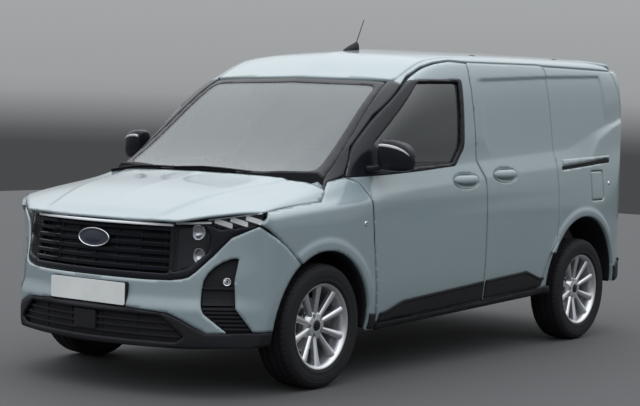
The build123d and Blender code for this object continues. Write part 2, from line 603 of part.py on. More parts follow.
# Rear bumper with the rear towing eye's socket
BUMPER_FACE = HALF_LENGTH - 4.3
REAR_TOW = (-450.0, 488.0)
with BuildPart() as rear_bumper:
    add(cabin_shell.part)
    side_prism([(1790, 300), (2200, 300), (2200, 559), (1790, 559)], -1000, 1000, mode=Mode.INTERSECT)
    block((-690, 2070, 420), (690, BUMPER_FACE, 556))
    lengthwise_cylinder(*REAR_TOW, TOW_RADIUS, BUMPER_FACE - TOW_EYE[2], BUMPER_FACE, mode=Mode.SUBTRACT)
save(rear_bumper.part, "rear_bumper")

with BuildPart() as tail_lamps:
    add(cabin_shell.part)
    block((TAIL_LAMP[0] + 0.3, 1990, TAIL_LAMP[2] + 0.3), (TAIL_LAMP[1], 2200, TAIL_LAMP[3] - 0.3),
          mode=Mode.INTERSECT)
    mirror(about=Plane.YZ)
save(tail_lamps.part, "tail_lamps")

# Floor: cab floor, step, load floor, wheel boxes, firewall and strut towers
LOAD_FLOOR_Z = 530.0
CAB_FLOOR_Z = 330.0
STEP_Y = 290.0
ARCH_INNER_X = 470.0
ARCH_WALL = 12.0
with BuildPart() as footwell_arches:
    arch_outer_x = POST[0] - FACE_GAP
    for x_low, x_high in ((-arch_outer_x, ARCH_WALL - ARCH_INNER_X),
                          (ARCH_INNER_X - ARCH_WALL, arch_outer_x)):
        cross_cylinder(FRONT_ARCH[0], FRONT_ARCH[1], FRONT_ARCH[2] + 6 + ARCH_WALL, x_low, x_high)
    block((-900, FIREWALL_Y, CAB_FLOOR_Z - 30), (900, -800, 900), mode=Mode.INTERSECT)

with BuildPart() as floor_pan:
    block((-900, FIREWALL_Y, CAB_FLOOR_Z - 30), (900, STEP_Y, CAB_FLOOR_Z))
    add(footwell_arches.part)
    block((-900, STEP_Y - 30, CAB_FLOOR_Z - 30), (900, STEP_Y, LOAD_FLOOR_Z))
    block((-900, STEP_Y - 30, LOAD_FLOOR_Z - 30), (900, 2060, LOAD_FLOOR_Z))
    block((-760, FIREWALL_Y, CAB_FLOOR_Z - 30), (760, FIREWALL_Y + 20, 1000))
    cross_cylinder(REAR_ARCH[0], REAR_ARCH[1], REAR_ARCH[2] + 12, -900, -610)
    cross_cylinder(REAR_ARCH[0], REAR_ARCH[1], REAR_ARCH[2] + 12, 610, 900)
    add(inner, mode=Mode.INTERSECT)
    block((-900, 500, 0), (900, 2200, LOAD_FLOOR_Z - 30), mode=Mode.SUBTRACT)
    for side in (-1, 1):
        post = sorted((side * (POST[0] - FACE_GAP), side * 900))
        block((post[0], FIREWALL_Y - 1, 0), (post[1], HINGE_Y + 60, 1200), mode=Mode.SUBTRACT)
    for x_low, x_high in ((-900, -622), (622, 900)):
        cross_cylinder(REAR_ARCH[0], REAR_ARCH[1], REAR_ARCH[2], x_low, x_high, mode=Mode.SUBTRACT)
    for x_low, x_high in ((-900, -ARCH_INNER_X), (ARCH_INNER_X, 900)):
        cross_cylinder(FRONT_ARCH[0], FRONT_ARCH[1], FRONT_ARCH[2] + 6, x_low, x_high, mode=Mode.SUBTRACT)
save(floor_pan.part, "floor_pan")

with BuildPart() as bulkhead:
    add(inner)
    block((-900, STEP_Y + 1, LOAD_FLOOR_Z), (900, STEP_Y + 19, 1900), mode=Mode.INTERSECT)
save(bulkhead.part, "bulkhead")

# Front subframe: side rails, crossmember, strut towers, lower arms and bonnet hinge brackets
KINGPIN = Vector(685, FRONT_AXLE_Y, AXLE_Z)
KINGPIN_LEAN = Vector(-0.230, 0, 0.9732)
RADIATOR_Y = -1960.0
CROSSMEMBER_Y = -2020.0
BALL_JOINT_X = 713.0
TOWER_Z = 826.0
PIVOT_RADIUS = 9.0
with BuildPart() as front_subframe:
    for side in (-1, 1):
        rail = sorted((side * 390, side * 460))
        block((rail[0], CROSSMEMBER_Y, 430), (rail[1], FIREWALL_Y, 530))
        tower = sorted((side * 430, side * 640))
        block((tower[0], -1420, TOWER_Z), (tower[1], -1250, TOWER_Z + 20))
        block((rail[0], -1420, 530), (rail[1], -1400, TOWER_Z))
        block((rail[0], -1270, 530), (rail[1], -1250, TOWER_Z))
        arm = sorted((side * 400, side * BALL_JOINT_X))
        block((arm[0], -1351, 190), (arm[1], -1315, 216))
        upright_cylinder(side * BALL_JOINT_X, FRONT_AXLE_Y, 17, 190, 216)
        block((rail[0], -1450, 190), (rail[1], -1200, 216))
        block((rail[0], -1450, 216), (rail[1], -1420, 430))
        block((rail[0], -1230, 216), (rail[1], -1200, 430))
    block((-460, CROSSMEMBER_Y, 430), (460, CROSSMEMBER_Y + 35, 530))
    block((-40, CROSSMEMBER_Y - 30, 300), (40, CROSSMEMBER_Y, 500))
    lengthwise_cylinder(0, TOW_EYE[0], 22, TOW_EYE[1], CROSSMEMBER_Y - 20)
    lengthwise_cylinder(0, TOW_EYE[0], TOW_RADIUS, TOW_EYE[1], TOW_EYE[1] + TOW_EYE[2], mode=Mode.SUBTRACT)
    for side in (-1, 1):
        axis_plane = Plane(origin=(side * KINGPIN.X, KINGPIN.Y, KINGPIN.Z),
                           z_dir=(side * KINGPIN_LEAN.X, 0, KINGPIN_LEAN.Z))
        with BuildSketch(axis_plane) as kingpin_bores:
            Circle(PIVOT_RADIUS + PIN_CLEARANCE)
        extrude(kingpin_bores.sketch, amount=700, both=True, mode=Mode.SUBTRACT)
save(front_subframe.part, "front_subframe")

with BuildPart() as engine_block:
    block((-389.7, -1860, 270), (389.7, -1400, 800))
save(engine_block.part, "engine_block")

with BuildPart() as radiator:
    block((-389.7, RADIATOR_Y - 20, 320), (389.7, RADIATOR_Y + 20, 800))
save(radiator.part, "radiator")

# Knuckle: upright with its stub axle, strut and calliper, turning about the leaning strut line
with BuildPart() as knuckle:
    cross_cylinder(FRONT_AXLE_Y, AXLE_Z, 45, 668, 718)
    cross_cylinder(FRONT_AXLE_Y, AXLE_Z, STUB_RADIUS, 700, TRACK / 2 + 40)
    block((672, FRONT_AXLE_Y - 22, 222), (712, FRONT_AXLE_Y + 22, 420))
    block((636, FRONT_AXLE_Y - 22, 390), (690, FRONT_AXLE_Y + 22, 425))
    block((690, FRONT_AXLE_Y - 132, 262), (712, FRONT_AXLE_Y - 20, 380))
    strut_foot = Vector(646, FRONT_AXLE_Y, 385)
    strut_top = KINGPIN + KINGPIN_LEAN * 508
    with BuildSketch(Plane(origin=strut_foot, z_dir=strut_top - strut_foot)) as strut:
        Circle(22)
    extrude(strut.sketch, amount=(strut_top - strut_foot).length)
    with BuildSketch(Plane(origin=strut_top, z_dir=KINGPIN_LEAN)) as top_pivot:
        Circle(PIVOT_RADIUS)
    extrude(top_pivot.sketch, amount=30)
    with BuildSketch(Plane(origin=KINGPIN - KINGPIN_LEAN * 140, z_dir=KINGPIN_LEAN)) as ball_pivot:
        Circle(PIVOT_RADIUS)
    extrude(ball_pivot.sketch, amount=60)
save_pair(knuckle.part, "knuckle")

with BuildPart() as rear_axle:
    cross_cylinder(1180, 330, 45, -560, 560)
    for side in (-1, 1):
        arm = sorted((side * 560, side * 620))
        block((arm[0], 900, 300), (arm[1], 1400, 370))
        stub = sorted((side * 600, side * (TRACK / 2 + 40)))
        cross_cylinder(REAR_AXLE_Y, AXLE_Z, STUB_RADIUS, stub[0], stub[1])
        block((arm[0], 900, 370), (arm[1], 940, 500))
save(rear_axle.part, "rear_axle")

with BuildPart() as exhaust:
    cross_cylinder(1900, 330, 85, -380, 160)
    with BuildSketch(Plane.XZ.offset(1380)) as pipe:
        with Locations((-200, 250)):
            Circle(25)
    extrude(pipe.sketch, amount=-3240)
    block((-215, 1880, 400), (-185, 1920, 500 - PIN_CLEARANCE))
    block((-215, 0, 260), (-185, 40, CAB_FLOOR_Z - 30 - PIN_CLEARANCE))
save(exhaust.part, "exhaust")

with BuildPart() as fuel_tank:
    block((-120, 350, 260), (480, 1050, LOAD_FLOOR_Z - 30 - PIN_CLEARANCE))
save(fuel_tank.part, "fuel_tank")

# Cab: dashboard, seats and steering wheel, which is on the van's right
WHEEL_X = -370.0
WHEEL_CENTRE = Vector(WHEEL_X, -640, 990)
COLUMN = Vector(0, 0.875, 0.484)
with BuildPart() as dashboard:
    side_prism([(-1129.7, 700), (-1050, 640), (-850, 640), (-780, 900), (-800, 985), (-900, 1015),
                (-1129.7, 1030)], -600, 600)
    with BuildSketch(Plane(origin=WHEEL_CENTRE - COLUMN * 190, z_dir=COLUMN)) as column:
        Circle(30)
    extrude(column.sketch, amount=160)
    add(inner, mode=Mode.INTERSECT)
save(dashboard.part, "dashboard")

with BuildPart() as steering_wheel:
    with BuildSketch(Plane(origin=WHEEL_CENTRE - COLUMN * 29.7, z_dir=COLUMN)):
        Circle(60)
    extrude(amount=40)
    rim_plane = Plane(origin=WHEEL_CENTRE, x_dir=(1, 0, 0), z_dir=COLUMN)
    with BuildSketch(Plane(origin=WHEEL_CENTRE, x_dir=(1, 0, 0), z_dir=Vector(0, 0.484, -0.875))) as rim:
        with Locations((180, 0)):
            Circle(15)
    revolve(rim.sketch, axis=Axis(WHEEL_CENTRE, COLUMN))
    for angle in (0, 180, 270):
        with BuildSketch(rim_plane.offset(-12)) as spoke:
            with Locations(Rotation(0, 0, angle)):
                with Locations((115, 0)):
                    Rectangle(130, 36)
        extrude(spoke.sketch, amount=18)
save(steering_wheel.part, "steering_wheel")

with BuildPart() as seats:
    for x in (-370, 370):
        block((x - 240, -560, 330.3), (x + 240, -80, 640))
        side_prism([(-90, 560), (60, 560), (200, 1180), (120, 1180)], x - 230, x + 230)
        side_prism([(130, 1190), (230, 1190), (250, 1360), (170, 1360)], x - 120, x + 120)
        block((x - 40, 150, 1170), (x + 40, 175, 1200))
save(seats.part, "seats")

# Small outside pieces
with BuildPart() as plates:
    block((-PLATE_HALF, PLATE_Y - 4, PLATE_Z[0]), (PLATE_HALF, PLATE_Y - PIN_CLEARANCE, PLATE_Z[1]))
    block((-PLATE_HALF, BUMPER_FACE + PIN_CLEARANCE, 433), (PLATE_HALF, HALF_LENGTH, 544))
save(plates.part, "number_plates")

with BuildPart() as aerial:
    side_prism([(-70, 1700), (90, 1700), (80, 1835), (10, 1808)], -25, 25)
    side_prism([(60, 1820), (70, 1820), (140, 1973), (134, 1973)], -4, 4)
    add(outer.moved(Location((0, 0, PIN_CLEARANCE))), mode=Mode.SUBTRACT)
save(aerial.part, "aerial")

with BuildPart() as fuel_flap:
    add(outer)
    add(outer.moved(Location((-12, 0, 0))), mode=Mode.SUBTRACT)
    side_prism(grown(FUEL_FLAP, -SIDE_GAP), 700, 1000, mode=Mode.INTERSECT)
    with BuildSketch(FLAP_PLANE) as flap_bore:
        Circle(FLAP_PIN + PIN_CLEARANCE)
    extrude(flap_bore.sketch, amount=110, both=True, mode=Mode.SUBTRACT)
save(fuel_flap.part, "fuel_flap")
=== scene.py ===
import math

import bmesh
import bpy
import numpy as np
from mathutils import Matrix, Vector


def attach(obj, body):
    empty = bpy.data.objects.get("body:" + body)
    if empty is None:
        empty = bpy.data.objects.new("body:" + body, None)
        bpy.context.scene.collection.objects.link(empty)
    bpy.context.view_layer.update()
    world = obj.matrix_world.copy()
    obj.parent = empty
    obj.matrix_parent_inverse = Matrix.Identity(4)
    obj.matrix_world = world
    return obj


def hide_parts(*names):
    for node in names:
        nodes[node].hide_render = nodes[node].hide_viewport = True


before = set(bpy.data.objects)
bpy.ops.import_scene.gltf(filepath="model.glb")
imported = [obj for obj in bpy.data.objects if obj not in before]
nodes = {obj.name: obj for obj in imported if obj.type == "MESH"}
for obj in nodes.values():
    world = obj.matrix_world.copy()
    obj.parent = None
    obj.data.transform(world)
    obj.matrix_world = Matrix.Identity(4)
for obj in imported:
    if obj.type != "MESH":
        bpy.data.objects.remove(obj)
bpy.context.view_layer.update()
scene = bpy.context.scene
scene.view_settings.view_transform = "Standard"

# Camera: a long lens at standing height, off the van's front left corner. The same numbers rebuild
# the photograph's lens, place, tilt and roll.
PHOTO_WIDTH = 640
LENS_PIXELS = 1640.5
SENSOR = 0.036
camera_place = Vector((5.9066, -7.9182, 1.4224))
camera_azimuth = math.radians(37.62)
camera_drop = math.radians(3.26)
camera_roll = math.radians(1.46)

back = Vector((math.sin(camera_azimuth) * math.cos(camera_drop),
               -math.cos(camera_azimuth) * math.cos(camera_drop), math.sin(camera_drop)))
right = (-back).cross(Vector((0, 0, 1))).normalized()
up = back.cross(right)
turned_right = math.cos(camera_roll) * right + math.sin(camera_roll) * up
turned_up = -math.sin(camera_roll) * right + math.cos(camera_roll) * up
camera_data = bpy.data.cameras.new("camera")
camera_data.sensor_width = SENSOR * 1000
camera_data.lens = LENS_PIXELS / PHOTO_WIDTH * SENSOR * 1000
camera = bpy.data.objects.new("camera", camera_data)
scene.collection.objects.link(camera)
camera.matrix_world = Matrix((
    (turned_right.x, turned_up.x, back.x, camera_place.x),
    (turned_right.y, turned_up.y, back.y, camera_place.y),
    (turned_right.z, turned_up.z, back.z, camera_place.z),
    (0, 0, 0, 1)))
scene.camera = camera


# Ground and light: a dark floor under an open sky that is bright overhead and dull at the horizon,
# as on a cloudy day, with soft lamps that give the sides their shape.
def node_material(name, values):
    """A new material with the named inputs of its surface shader set, as (material, tree, shader)."""
    material = bpy.data.materials.new(name)
    material.use_nodes = True
    tree = material.node_tree
    shader = tree.nodes["Principled BSDF"]
    for input_name, value in values.items():
        shader.inputs[input_name].default_value = value
    return material, tree, shader


FLOOR_HALF = 14.0
floor_mesh = bpy.data.meshes.new("ground")
floor_corners = [(FLOOR_HALF * x, FLOOR_HALF * y, 0) for x, y in ((-1, -1), (1, -1), (1, 1), (-1, 1))]
floor_mesh.from_pydata(floor_corners, [], [(0, 1, 2, 3)])
floor_look = {"Base Color": (0.062, 0.063, 0.066, 1), "Roughness": 0.85}
floor_mesh.materials.append(node_material("studio_floor", floor_look)[0])
ground = bpy.data.objects.new("ground", floor_mesh)
scene.collection.objects.link(ground)

world = bpy.data.worlds.new("room")
scene.world = world
world.use_nodes = True
room = world.node_tree.nodes["Background"]
sky_place = world.node_tree.nodes.new("ShaderNodeTexCoord")
sky_parts = world.node_tree.nodes.new("ShaderNodeSeparateXYZ")
sky_height = world.node_tree.nodes.new("ShaderNodeMapRange")
sky_height.inputs["From Min"].default_value = -1.0
sky_ramp = world.node_tree.nodes.new("ShaderNodeValToRGB")
SKY = ((0.0, 0.03), (0.49, 0.03), (0.505, 0.15), (0.60, 0.22), (0.76, 0.62), (1.0, 1.0))
while len(sky_ramp.color_ramp.elements) < len(SKY):
    sky_ramp.color_ramp.elements.new(0.5)
for element, (place, shade) in zip(sky_ramp.color_ramp.elements, SKY):
    element.position = place
    element.color = (0.95 * shade, 0.98 * shade, 1.0 * shade, 1)
world.node_tree.links.new(sky_place.outputs["Generated"], sky_parts.inputs["Vector"])
world.node_tree.links.new(sky_parts.outputs["Z"], sky_height.inputs["Value"])
world.node_tree.links.new(sky_height.outputs["Result"], sky_ramp.inputs["Fac"])
world.node_tree.links.new(sky_ramp.outputs["Color"], room.inputs["Color"])
room.inputs["Strength"].default_value = 2.3


def soft_lamp(name, place, target, size, power):
    """An area lamp at a place, facing a target, that no glossy surface shows."""
    data = bpy.data.lights.new(name, "AREA")
    data.shape = "RECTANGLE"
    data.size, data.size_y = size
    data.energy = power
    lamp = bpy.data.objects.new(name, data)
    scene.collection.objects.link(lamp)
    lamp.location = place
    aim = Vector(target) - Vector(place)
    lamp.rotation_euler = aim.to_track_quat("-Z", "Y").to_euler()
    lamp.visible_glossy = False


soft_lamp("overhead", (0.5, -0.5, 6.5), (0, 0, 0), (7.0, 8.0), 60)
soft_lamp("front_left", (4.0, -8.5, 4.2), (0, 0, 0.8), (4.0, 3.0), 70)


# Finishes: the paint is a pale grey green colour under a clear, very finely waved lacquer. Plastic,
# rubber and metal vary a little in colour and have a fine grain. Glass is thin, with a dark tint.
def noise_value(tree, scale, detail):
    """Noise over the object, as the socket that gives its value."""
    place = tree.nodes.new("ShaderNodeTexCoord")
    noise = tree.nodes.new("ShaderNodeTexNoise")
    noise.inputs["Scale"].default_value = scale
    noise.inputs["Detail"].default_value = detail
    tree.links.new(place.outputs["Object"], noise.inputs["Vector"])
    return noise.outputs["Fac"]


def coated(name, shades, broad, fine, depth, distance, values):
    """A colour mixed from two shades by broad noise, with bumps by fine noise. Broad and fine are the
    scale and detail of their noise."""
    material, tree, shader = node_material(name, values)
    ramp = tree.nodes.new("ShaderNodeValToRGB")
    for element, shade in zip(ramp.color_ramp.elements, shades):
        element.color = (*shade, 1)
    tree.links.new(noise_value(tree, *broad), ramp.inputs["Fac"])
    tree.links.new(ramp.outputs["Color"], shader.inputs["Base Color"])
    bump = tree.nodes.new("ShaderNodeBump")
    bump.inputs["Strength"].default_value = depth
    bump.inputs["Distance"].default_value = distance
    tree.links.new(noise_value(tree, *fine), bump.inputs["Height"])
    tree.links.new(bump.outputs["Normal"], shader.inputs["Normal"])
    return material


COLOUR_SPREAD = 0.14
CLOUDS = (6.0, 2.0)
GRAIN_DETAIL = 4.0
GRAIN_HEIGHT = 0.0006


def moulded(name, colour, roughness, grain=220.0, depth=0.25, coat=0.0, metal=0.0, shine=0.5):
    """Plastic, rubber or metal: the colour varies a little either way, with a fine grain."""
    shades = [[min(1.0, (1 + spread) * c) for c in colour] for spread in (-COLOUR_SPREAD, COLOUR_SPREAD)]
    return coated(name, shades, CLOUDS, (grain, GRAIN_DETAIL), depth, GRAIN_HEIGHT,
                  {"Roughness": roughness, "Metallic": metal, "Specular IOR Level": shine,
                   "Coat Weight": coat, "Coat Roughness": 0.05})


def clear_pane(name, colour, roughness=0.02, alpha=0.45, coat=1.0):
    """Thin glass: a dark tint that lets the cab show, with a sharp reflection."""
    return node_material(name, {"Base Color": (*colour, 1), "Roughness": roughness, "Alpha": alpha,
                                "Specular IOR Level": 0.8, "Coat Weight": coat, "Coat Roughness": 0.01})[0]


PAINT_SHADES = (0.190, 0.243, 0.262), (0.208, 0.263, 0.284)
DUST = (2.3, 3.0)
LACQUER_WAVES = (90.0, 2.0)
paint = coated("paint", PAINT_SHADES, DUST, LACQUER_WAVES, 0.015, 0.002,
               {"Roughness": 0.38, "Metallic": 0.0, "Coat Weight": 1.0, "Coat Roughness": 0.04})
black_gloss = moulded("black_gloss", (0.008, 0.009, 0.013), 0.20, depth=0.02, shine=0.22)
black_plastic = moulded("black_plastic", (0.011, 0.011, 0.014), 0.62, depth=0.35, shine=0.22)
rubber = moulded("tyre_rubber", (0.010, 0.010, 0.012), 0.74, grain=300, depth=0.3, shine=0.25)
alloy = moulded("alloy", (0.60, 0.61, 0.63), 0.30, depth=0.05, coat=0.4, metal=0.85)
steel = moulded("steel", (0.18, 0.18, 0.19), 0.5, depth=0.2, metal=0.6)
chrome = moulded("chrome", (0.80, 0.81, 0.83), 0.10, depth=0.0, metal=1.0)
floor_sheet = moulded("floor_sheet", (0.12, 0.125, 0.13), 0.6)
trim = moulded("cab_trim", (0.045, 0.046, 0.05), 0.7, depth=0.4)
fabric = moulded("seat_fabric", (0.05, 0.052, 0.058), 0.9, grain=700, depth=0.6)
glass = clear_pane("glass", (0.02, 0.026, 0.028), alpha=0.62)
screen_glass = clear_pane("screen_glass", (0.085, 0.105, 0.115), alpha=0.50)
lamp_lens = clear_pane("lamp_lens", (0.03, 0.032, 0.036), alpha=0.12, coat=0.15)
red_lens = clear_pane("red_lens", (0.35, 0.008, 0.012), roughness=0.08, alpha=0.9)
white_plate = moulded("white_plate", (0.66, 0.68, 0.68), 0.35, grain=400, depth=0.05, coat=0.3)
yellow_plate = moulded("yellow_plate", (0.62, 0.43, 0.05), 0.35, grain=400, depth=0.05, coat=0.3)

# Solids of the part that stay as they are, under the van and in the cab.
CAD_FINISHES = (
    (floor_sheet, "floor_pan", "bulkhead"),
    (black_plastic, "slide_rails", "scuttle", "radiator", "fuel_tank", "rear_bumper"),
    (steel, "front_subframe", "engine_block", "rear_axle", "exhaust", "knuckle_left", "knuckle_right"),
    (trim, "dashboard", "steering_wheel"))
for finish, *node_names in CAD_FINISHES:
    for node_name in node_names:
        mesh = nodes[node_name].data
        mesh.materials.clear()
        mesh.materials.append(finish)


# Body skin: the outside of the pressed sheet, as one smooth surface that every panel is cut from.
# A cross-section every so often along the van carries the same eleven points from sill to crown.
def cubic_slopes(rows, gaps):
    """Slopes of a monotone cubic at its rows: the weighted harmonic mean of the two neighbouring rises,
    so the curve never overshoots its rows."""
    rises = np.diff(rows, axis=0) / gaps
    before, after = rises[:-1], rises[1:]
    weight_a = 2 * gaps[1:] + gaps[:-1]
    weight_b = gaps[1:] + 2 * gaps[:-1]
    alike = before * after > 0
    mean = (weight_a + weight_b) / (weight_a / np.where(alike, before, 1.0)
                                    + weight_b / np.where(alike, after, 1.0))
    slopes = np.zeros_like(rows)
    slopes[1:-1] = np.where(alike, mean, 0)
    slopes[0], slopes[-1] = rises[0], rises[-1]
    return slopes


def cubic(share, low, high, rise_low, rise_high):
    """The cubic between two values that leaves and arrives with the two rises."""
    s2, s3 = share ** 2, share ** 3
    return ((2 * s3 - 3 * s2 + 1) * low + (s3 - 2 * s2 + share) * rise_low
            + (3 * s2 - 2 * s3) * high + (s3 - s2) * rise_high)


def between_knots(knots, at):
    """The gap between knots that holds each point, the gap's width and the share of the way over it."""
    place = np.clip(np.searchsorted(knots, at, side="right") - 1, 0, len(knots) - 2)
    width = knots[place + 1] - knots[place]
    return place, width, (at - knots[place]) / width


def smooth_rows(knots, rows, at):
    """Monotone cubic through rows at knots, at each point of `at`."""
    shape = (-1,) + (1,) * (rows.ndim - 1)
    slopes = cubic_slopes(rows, np.diff(knots).reshape(shape))
    place, width, share = between_knots(knots, at)
    width = width.reshape(shape)
    return cubic(share.reshape(shape), rows[place], rows[place + 1],
                 slopes[place] * width, slopes[place + 1] * width)


SECTION_Y = np.array([-2.160, -2.050, -1.771, -1.300, -0.463, -0.130, 0.200, 1.030, 1.700, 2.150])
SILL_POINTS = [(0.829, 0.200), (0.835, 0.225), (0.866, 0.330), (0.889, 0.560), (0.893, 0.800)]
UPPER_POINTS = np.array([
    [(0.893, 0.812), (0.880, 0.818), (0.800, 0.824), (0.650, 0.830), (0.450, 0.836), (0, 0.842)],
    [(0.893, 0.832), (0.880, 0.842), (0.800, 0.856), (0.650, 0.868), (0.450, 0.878), (0, 0.886)],
    [(0.887, 0.880), (0.850, 0.915), (0.815, 0.928), (0.650, 0.954), (0.450, 0.972), (0, 0.985)],
    [(0.884, 0.915), (0.835, 0.962), (0.800, 1.002), (0.700, 1.040), (0.450, 1.068), (0, 1.080)],
    [(0.884, 0.950), (0.866, 1.045), (0.845, 1.145), (0.735, 1.555), (0.650, 1.592), (0, 1.622)],
    [(0.884, 0.950), (0.866, 1.048), (0.845, 1.148), (0.724, 1.668), (0.662, 1.720), (0, 1.767)],
    [(0.884, 0.950), (0.866, 1.050), (0.845, 1.150), (0.720, 1.702), (0.665, 1.748), (0, 1.797)],
    [(0.884, 0.950), (0.866, 1.060), (0.845, 1.165), (0.722, 1.736), (0.660, 1.768), (0, 1.815)],
    [(0.880, 0.950), (0.862, 1.070), (0.840, 1.175), (0.716, 1.746), (0.655, 1.775), (0, 1.827)],
    [(0.868, 0.950), (0.850, 1.070), (0.826, 1.175), (0.700, 1.715), (0.640, 1.745), (0, 1.800)],
])
sections = np.concatenate([np.broadcast_to(SILL_POINTS, (len(SECTION_Y), 5, 2)), UPPER_POINTS], axis=1)
GIRTH = np.array([0, 0.025, 0.135, 0.366, 0.606, 0.746, 0.84, 0.95, 1.5, 1.58, 2.2])
WIDEST_POINT = 4
HALVINGS = 30


def along_section(y, value, axis):
    """Where the section at y has x (axis 0) or z (axis 1) equal to value, its other coordinate.
    The place on the section is found by halving, on monotone cubics through its points."""
    rows = smooth_rows(SECTION_Y, sections, np.clip(y, SECTION_Y[0], SECTION_Y[-1])).swapaxes(0, 1)
    slopes = cubic_slopes(rows, np.diff(GIRTH)[:, None, None])
    pick = np.arange(rows.shape[1])

    def at(girth):
        place, width, share = between_knots(GIRTH, girth)
        width = width[:, None]
        return cubic(share[:, None], rows[place, pick], rows[place + 1, pick],
                     slopes[place, pick] * width, slopes[place + 1, pick] * width)

    low = np.full(len(pick), GIRTH[WIDEST_POINT] if axis == 0 else GIRTH[0])
    high = np.full(len(pick), GIRTH[-1])
    for _ in range(HALVINGS):
        middle = (low + high) / 2
        found = at(middle)[:, axis]
        further = found > value if axis == 0 else found < value
        low, high = np.where(further, middle, low), np.where(further, high, middle)
    return at(low)[:, 1 - axis]


def softer(a, b, radius=0.012):
    """The smaller of a and b, rounded where they meet."""
    return (a + b - np.sqrt((a - b) ** 2 + radius ** 2)) / 2


def arc_points(start, middle, end, count=24):
    """Points of the circle through three points, from start to end. With the points as complex numbers
    a, b, c and w = (c - a) / (b - a), the middle is a + (b - a) (w - |w|^2) / (2 i Im w)."""
    a, b, c = (complex(*point) for point in (start, middle, end))
    w = (c - a) / (b - a)
    centre = a + (b - a) * (w - abs(w) ** 2) / (2j * w.imag)
    first, half_way, last = (np.angle(point - centre) for point in (a, b, c))
    half_way = first + math.remainder(half_way - first, 2 * math.pi)
    last = half_way + math.remainder(last - half_way, 2 * math.pi)
    points = centre + abs(a - centre) * np.exp(1j * np.linspace(first, last, count))
    return np.stack([points.real, points.imag], axis=1)


def run_length(points):
    """Distance along a run of points, at each of them."""
    return np.concatenate([[0], np.cumsum(np.hypot(*np.diff(points, axis=0).T))])


# Plan of the body at its widest, from the middle of the nose round the side to the middle of the
# tail, sampled evenly and averaged over a short run so that its corners are round.
PLAN_STEP = 0.004
ROUNDING = 23
corners = np.concatenate([
    arc_points((0, -2.1685), (0.300, -2.1375), (0.600, -2.0445)), [(0.862, -1.806)],
    arc_points((0.870, -1.796), (0.888, -1.768), (0.900, -1.700), 10), [(0.900, 1.450)],
    arc_points((0.868, 1.815), (0.815, 1.945), (0.715, 2.085)),
    arc_points((0.715, 2.085), (0.350, 2.128), (0, 2.140))[1:]])
corner_run = run_length(corners)
plan_run = np.arange(0, corner_run[-1], PLAN_STEP)
plan = np.stack([np.interp(plan_run, corner_run, corners[:, k]) for k in (0, 1)], axis=1)
window = np.hanning(ROUNDING + 2)[1:-1] / np.hanning(ROUNDING + 2).sum()
half = ROUNDING // 2
ahead = plan[1:half + 1][::-1] * (-1, 1)
behind = plan[-half - 1:-1][::-1] * (-1, 1)
padded_plan = np.concatenate([ahead, plan, behind])
plan = np.stack([np.convolve(padded_plan[:, k], window, mode="valid") for k in (0, 1)], axis=1)
widest = len(plan) // 2
LEAN_Z = np.array([0.200, 0.300, 0.420, 0.500, 0.600, 0.700, 0.870, 0.930])
LEAN = np.array([0.012, 0.000, 0.000, 0.022, 0.030, 0.045, 0.064, 0.090])
PLATE_FACE = -2.141
PLATE_FIELD_HALF = 0.292
PLATE_FIELD_LOW, PLATE_FIELD_HIGH = 0.424, 0.562
LEAN_END, LEAN_FADE = 1.10, 0.45
SKIN_SLACK = 0.004
TAIL_Z = np.array([0.2, 0.370, 1.000, 1.250, 1.900])
TAIL_Y = np.array([2.141, 2.140, 2.134, 2.110, 2.013])


def plan_half_width(y):
    """Half width of the plan outline at y."""
    front = np.interp(y, plan[:widest, 1], plan[:widest, 0])
    rear = np.interp(y, plan[widest:, 1], plan[widest:, 0])
    return np.where(y < 0, front, rear)


FRONT_ARCH = (-1.338, 0.318)
FRONT_ARCH_RADIUS = 0.392
REAR_ARCH = (1.356, 0.372)
REAR_ARCH_RADIUS = 0.417
CREASE = np.array([(-1.500, 0.930), (-0.963, 0.976), (-0.161, 1.026), (0.565, 1.074), (1.115, 1.105),
                   (1.450, 1.132), (1.540, 1.200), (1.620, 1.272), (1.840, 1.355), (2.100, 1.420)])
LEDGE_TOP = np.array([(-1.500, 1.030), (-0.812, 1.077), (-0.114, 1.128), (0.299, 1.155), (1.033, 1.204),
                      (1.196, 1.211), (1.285, 1.231), (1.565, 1.316), (1.774, 1.367), (1.868, 1.381),
                      (2.100, 1.440)])
RECESS_TOP = np.array([(0.200, 1.618), (1.033, 1.661), (1.685, 1.684), (1.900, 1.690)])
RECESS_REAR = np.array([(1.300, 1.776), (1.392, 1.764), (1.525, 1.756), (1.640, 1.748), (1.690, 1.735)])
CREASE_OUT = 0.006
RECESS_DEPTH = 0.010
LIP_OUT = 0.009
SWELL_BAND = 0.17
RECESS_FRONT = 0.20
RECOVERY_BAND = 0.16
LIP_FADE = 0.030
FRONT_LIP_RADIUS = 0.462
REAR_LIP_RADIUS = 0.480


def smooth_step(share):
    """0 below 0, 1 above 1, and 3 s^2 - 2 s^3 between."""
    share = np.clip(share, 0, 1)
    return share * share * (3 - 2 * share)


